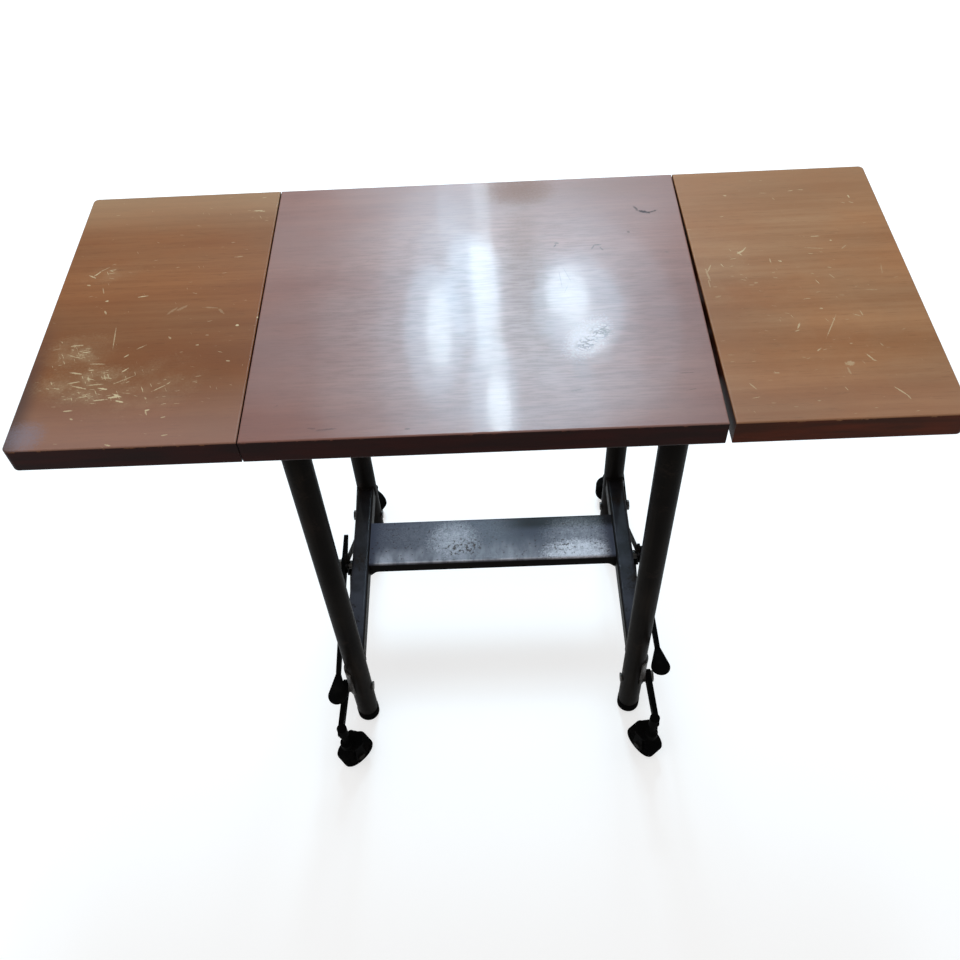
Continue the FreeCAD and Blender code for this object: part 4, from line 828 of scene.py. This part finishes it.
def bead(path, radius, pitch, across, ring=10):
    """Carry a circle along a path.

    A point is the path's point plus its radius times (cosine of the ring angle times one side
    direction plus sine of it times the other). The radius swells by a sixth once every pitch and
    goes to nearly nothing at the ends, so that the bead is closed.
    """
    step = np.linalg.norm(np.diff(path, axis=0), axis=1)
    distance = np.concatenate([[0.0], np.cumsum(step)])
    tangent = np.gradient(path, axis=0)
    tangent /= np.linalg.norm(tangent, axis=1)[:, None]
    side = np.cross(tangent, across)
    side /= np.linalg.norm(side, axis=1)[:, None]
    other = np.cross(side, tangent)
    along = distance / distance[-1]
    swell = 1 + np.sin(FULL_TURN * distance / pitch) / 6
    taper = np.sqrt(np.clip(1 - np.abs(2 * along - 1) ** 12, 1e-4, 1))
    angle = np.linspace(0, FULL_TURN, ring, endpoint=False)
    reach = (radius * swell * taper)[:, None, None]
    points = path[:, None] + reach * (np.cos(angle)[None, :, None] * side[:, None]
                                      + np.sin(angle)[None, :, None] * other[:, None])
    quads = grid_faces(len(path), ring)
    near = np.arange(ring // 2 - 1)
    first = np.stack([near, near + 1, ring - 2 - near, ring - 1 - near], -1)
    last = first + (len(path) - 1) * ring
    return points.reshape(-1, 3), np.concatenate([quads, first, last[:, ::-1]])


def rail_bead_path(side, end, count=150):
    """Follow the rail's upside-down U round a leg.

    In the plane across the rail, the path goes up one wall, round a quarter circle, over the top,
    round the other quarter and down. Its depth along the rail is the leg's radius times the cosine
    of the angle whose sine is the sideways distance over that radius.
    """
    rail_low, rail_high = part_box(side + "_side_rail")
    leg_low, leg_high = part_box("front_" + side + "_leg")
    leg_y = abs(leg_low.y + leg_high.y) / 2 * ENDS[end]
    centre = (rail_low.x + rail_high.x) / 2
    half = (rail_high.x - rail_low.x) / 2
    leg_radius = (leg_high.x - leg_low.x) / 2
    corner = RAIL_CORNER
    height = rail_high.z - rail_low.z
    wall, arc, flat = height - corner, corner * math.pi / 2, 2 * (half - corner)
    total = 2 * wall + 2 * arc + flat
    s = np.linspace(0, total, count)
    turn_one = np.clip((s - wall) / corner, 0, math.pi / 2)
    turn_two = np.clip((s - wall - arc - flat) / corner, 0, math.pi / 2)
    across = (-half + corner - corner * np.cos(turn_one)
              + np.clip(s - wall - arc, 0, flat) + corner * np.sin(turn_two))
    up = (np.clip(s, 0, wall) + corner * np.sin(turn_one)
          - corner * (1 - np.cos(turn_two)) - np.clip(s - wall - 2 * arc - flat, 0, wall))
    depth = np.sqrt(np.clip(leg_radius ** 2 - across ** 2, 0, None))
    return np.stack([centre + across, leg_y - ENDS[end] * depth, rail_low.z + up], -1)


class TABLE_OT_welds(bpy.types.Operator):
    """Run weld beads where the rails meet the legs"""

    bl_idname = "table.welds"
    bl_label = "Weld the Stand"

    def execute(self, context):
        sizes = context.scene.table_sizes
        steel = frame["nodes"]["left_side_rail"].data.materials[0]
        for side in SIDES:
            seams = [bead(rail_bead_path(side, end), sizes.weld_radius, sizes.weld_pitch,
                          (0.0, 1.0, 0.0)) for end in ENDS]
            make_piece(side + "_weld_beads", seams, steel, "frame")
        return {"FINISHED"}


def wheel_face(centre, axis, hand, relief, ribs, around=96, section=20):
    """Work out the ribbed ring in the dish of one wheel side.

    With t round the wheel and u round the ring's section, the distance from the axle is the mean
    radius plus half the width times cos u to the power 0.6, which keeps its sign. The height off
    the dish is the relief times the square root of the positive part of sin u, times a factor
    that runs from a half up to one at each rib, where it is half plus half of the eighth power of
    cos(ribs t / 2); below, the section dips a little.
    """
    t = np.linspace(0, FULL_TURN, around, endpoint=False)[:, None]
    u = np.linspace(0, FULL_TURN, section, endpoint=False)[None, :]
    squared_off = np.sign(np.cos(u)) * np.abs(np.cos(u)) ** 0.6
    radius = (FACE_INNER + FACE_OUTER) / 2 + (FACE_OUTER - FACE_INNER) / 2 * squared_off
    rib = 0.5 + 0.5 * np.cos(ribs * t / 2) ** 8
    lift = relief * rib * np.clip(np.sin(u), 0, None) ** 0.5
    dip = 0.3 * MM * np.clip(np.sin(u), None, 0)
    height = (FACE_FLOOR + lift + dip) * hand
    axis = np.array(axis, float)
    across = np.cross(axis, (0.0, 0.0, 1.0))
    upward = np.cross(across, axis)
    points = (np.array(centre, float) + height[..., None] * axis
              + (radius * np.cos(t))[..., None] * across
              + (radius * np.sin(t))[..., None] * upward)
    return points.reshape(-1, 3), grid_faces(around, section, close_rows=True)


class TABLE_OT_wheel_faces(bpy.types.Operator):
    """Press a ribbed ring into each side of the caster wheels"""

    bl_idname = "table.wheel_faces"
    bl_label = "Rib the Wheel Faces"

    def execute(self, context):
        sizes = context.scene.table_sizes
        rubber = frame["nodes"]["front_left_caster_wheel"].data.materials[0]
        joints = {joint["name"]: joint for joint in frame["joints"]}
        for corner in CORNERS:
            joint = joints[corner + "_wheel_roll"]
            faces = [wheel_face(joint["pos_m"], joint["axis"], hand, sizes.face_relief,
                                sizes.face_ribs) for hand in (-1, 1)]
            make_piece(corner + "_wheel_faces", faces, rubber, corner + "_wheel")
        return {"FINISHED"}


# ---------------------------------------------------------------- studio


def area_light(name, centre, size, radiance, tint, target=None, heading=0.0, shape=BAR):
    """Hang a flat light; it faces straight down at a heading, or towards a target."""
    light = bpy.data.lights.new(name, "AREA")
    light.shape = shape
    light.size, light.size_y = size
    area = size[0] * size[1] * (math.pi / 4 if shape == DISC else 1.0)
    light.energy = radiance * math.pi * area
    light.color = tint
    lamp = put(name, light)
    turn = Matrix.Rotation(heading, 4, "Z")
    if target is not None:
        turn = (Vector(target) - Vector(centre)).to_track_quat("-Z", "Y").to_matrix().to_4x4()
    lamp.matrix_world = Matrix.Translation(centre) @ turn
    lamp.visible_camera = False


class TABLE_OT_studio(bpy.types.Operator):
    """Lay the floor, hang the lights and set the camera"""

    bl_idname = "table.studio"
    bl_label = "Set up the Studio"

    def seen(self, g):
        """Give 1 for rays that look at a surface directly, in a mirror or through glass."""
        path = g.node("ShaderNodeLightPath")
        return g.math("MAXIMUM", path.outputs["Is Camera Ray"],
                      g.math("MAXIMUM", path.outputs["Is Glossy Ray"],
                             path.outputs["Is Transmission Ray"]))

    def floor(self, studio):
        """Lay a pale floor that looks white and keeps the table's shadow."""
        reach = FLOOR_REACH
        mesh = bpy.data.meshes.new("floor")
        mesh.from_pydata([(-reach, -reach, 0), (reach, -reach, 0), (reach, reach, 0),
                          (-reach, reach, 0)], [], [(0, 1, 2, 3)])
        plane = put("floor", mesh)
        material, g, shader, _ = new_material("pale_floor", 0.9, specular=0.0)
        g.fill(shader, base_color=studio.floor_colour, emission_color=(1.0, 1.0, 1.0),
               emission_strength=g.times(self.seen(g), studio.floor_lift))
        mesh.materials.append(material)

    def world(self, studio):
        """Light the room evenly, and show white behind everything."""
        world = bpy.data.worlds.new("room")
        world.use_nodes = True
        g = Graph(world.node_tree)
        back = world.node_tree.nodes["Background"]
        g.fill(back, color=(1.0, 1.0, 1.0),
               strength=g.ramp(self.seen(g), 0.0, 1.0, studio.room_light, 1.0))
        bpy.context.scene.world = world

    def lights(self, studio):
        """Hang a soft front light, a soft sky behind and the bright panes of a window."""
        area_light("front_softbox", (-0.6, -1.0, 3.0), (2.4, 1.6), studio.key_light,
                   (1.0, 0.98, 0.95), target=(0.0, 0.0, 0.5))
        area_light("rear_sky", (-0.03, 1.80, PANE_HEIGHT + 0.15), (1.17, 1.98), studio.sky_light,
                   (0.71, 0.87, 0.97), shape=DISC)
        for i, (shape, x, y, width, depth, strength, tint) in enumerate(WINDOW_PANES):
            area_light("window_pane_%d" % i, (x, y, PANE_HEIGHT + PANE_STEP * i), (width, depth),
                       studio.window_light * strength, tint, heading=0.04, shape=shape)

    def camera(self, studio):
        """Look down on the table from the front, a little to the right of its middle."""
        data = bpy.data.cameras.new("camera")
        data.sensor_width = 36.0
        data.lens = studio.focal_length
        data.clip_end = 60.0
        camera = put("camera", data)
        turn = Matrix((CAMERA_RIGHT, -CAMERA_DOWN, -CAMERA_AHEAD)).transposed().to_4x4()
        camera.matrix_world = Matrix.Translation(CAMERA_PLACE) @ turn
        bpy.context.scene.camera = camera

    def execute(self, context):
        studio = context.scene.table_studio
        for set_up in (self.floor, self.world, self.lights, self.camera):
            set_up(studio)
        context.scene.view_settings.view_transform = "Standard"
        return {"FINISHED"}


# ---------------------------------------------------------------- panel and start


SETTINGS = {"table_colours": TableColours, "table_sizes": TableSizes, "table_studio": TableStudio}
STEPS = (
    TABLE_OT_panel_varnish,
    TABLE_OT_leaf_varnish,
    TABLE_OT_frame_enamel,
    TABLE_OT_black_enamel,
    TABLE_OT_shelf_enamel,
    TABLE_OT_hardware_plate,
    TABLE_OT_rubber,
    TABLE_OT_welds,
    TABLE_OT_wheel_faces,
    TABLE_OT_studio,
)


class TABLE_PT_finishes(bpy.types.Panel):
    """List the settings and the steps of the typewriter table."""

    bl_idname = "TABLE_PT_finishes"
    bl_label = "Typewriter Table"
    bl_space_type = "VIEW_3D"
    bl_region_type = "UI"
    bl_category = "Table"

    def draw(self, context):
        for title, kind in SETTINGS.items():
            box = self.layout.box()
            for name in kind.__annotations__:
                box.prop(getattr(context.scene, title), name)
        for step in STEPS:
            self.layout.operator(step.bl_idname)


CLASSES = (*SETTINGS.values(), *STEPS, TABLE_PT_finishes)


def register():
    """Register the classes and hang the settings on the scene."""
    for kind in CLASSES:
        bpy.utils.register_class(kind)
    for title, kind in SETTINGS.items():
        setattr(bpy.types.Scene, title, PointerProperty(type=kind))


def unregister():
    """Take the settings off the scene and unregister the classes."""
    for title in SETTINGS:
        delattr(bpy.types.Scene, title)
    for kind in reversed(CLASSES):
        bpy.utils.unregister_class(kind)


def main():
    """Dress the table step by step."""
    register()
    for step in STEPS:
        group, name = step.bl_idname.split(".")
        getattr(getattr(bpy.ops, group), name)()
    bpy.context.view_layer.update()


if __name__ == "__main__":
    main()
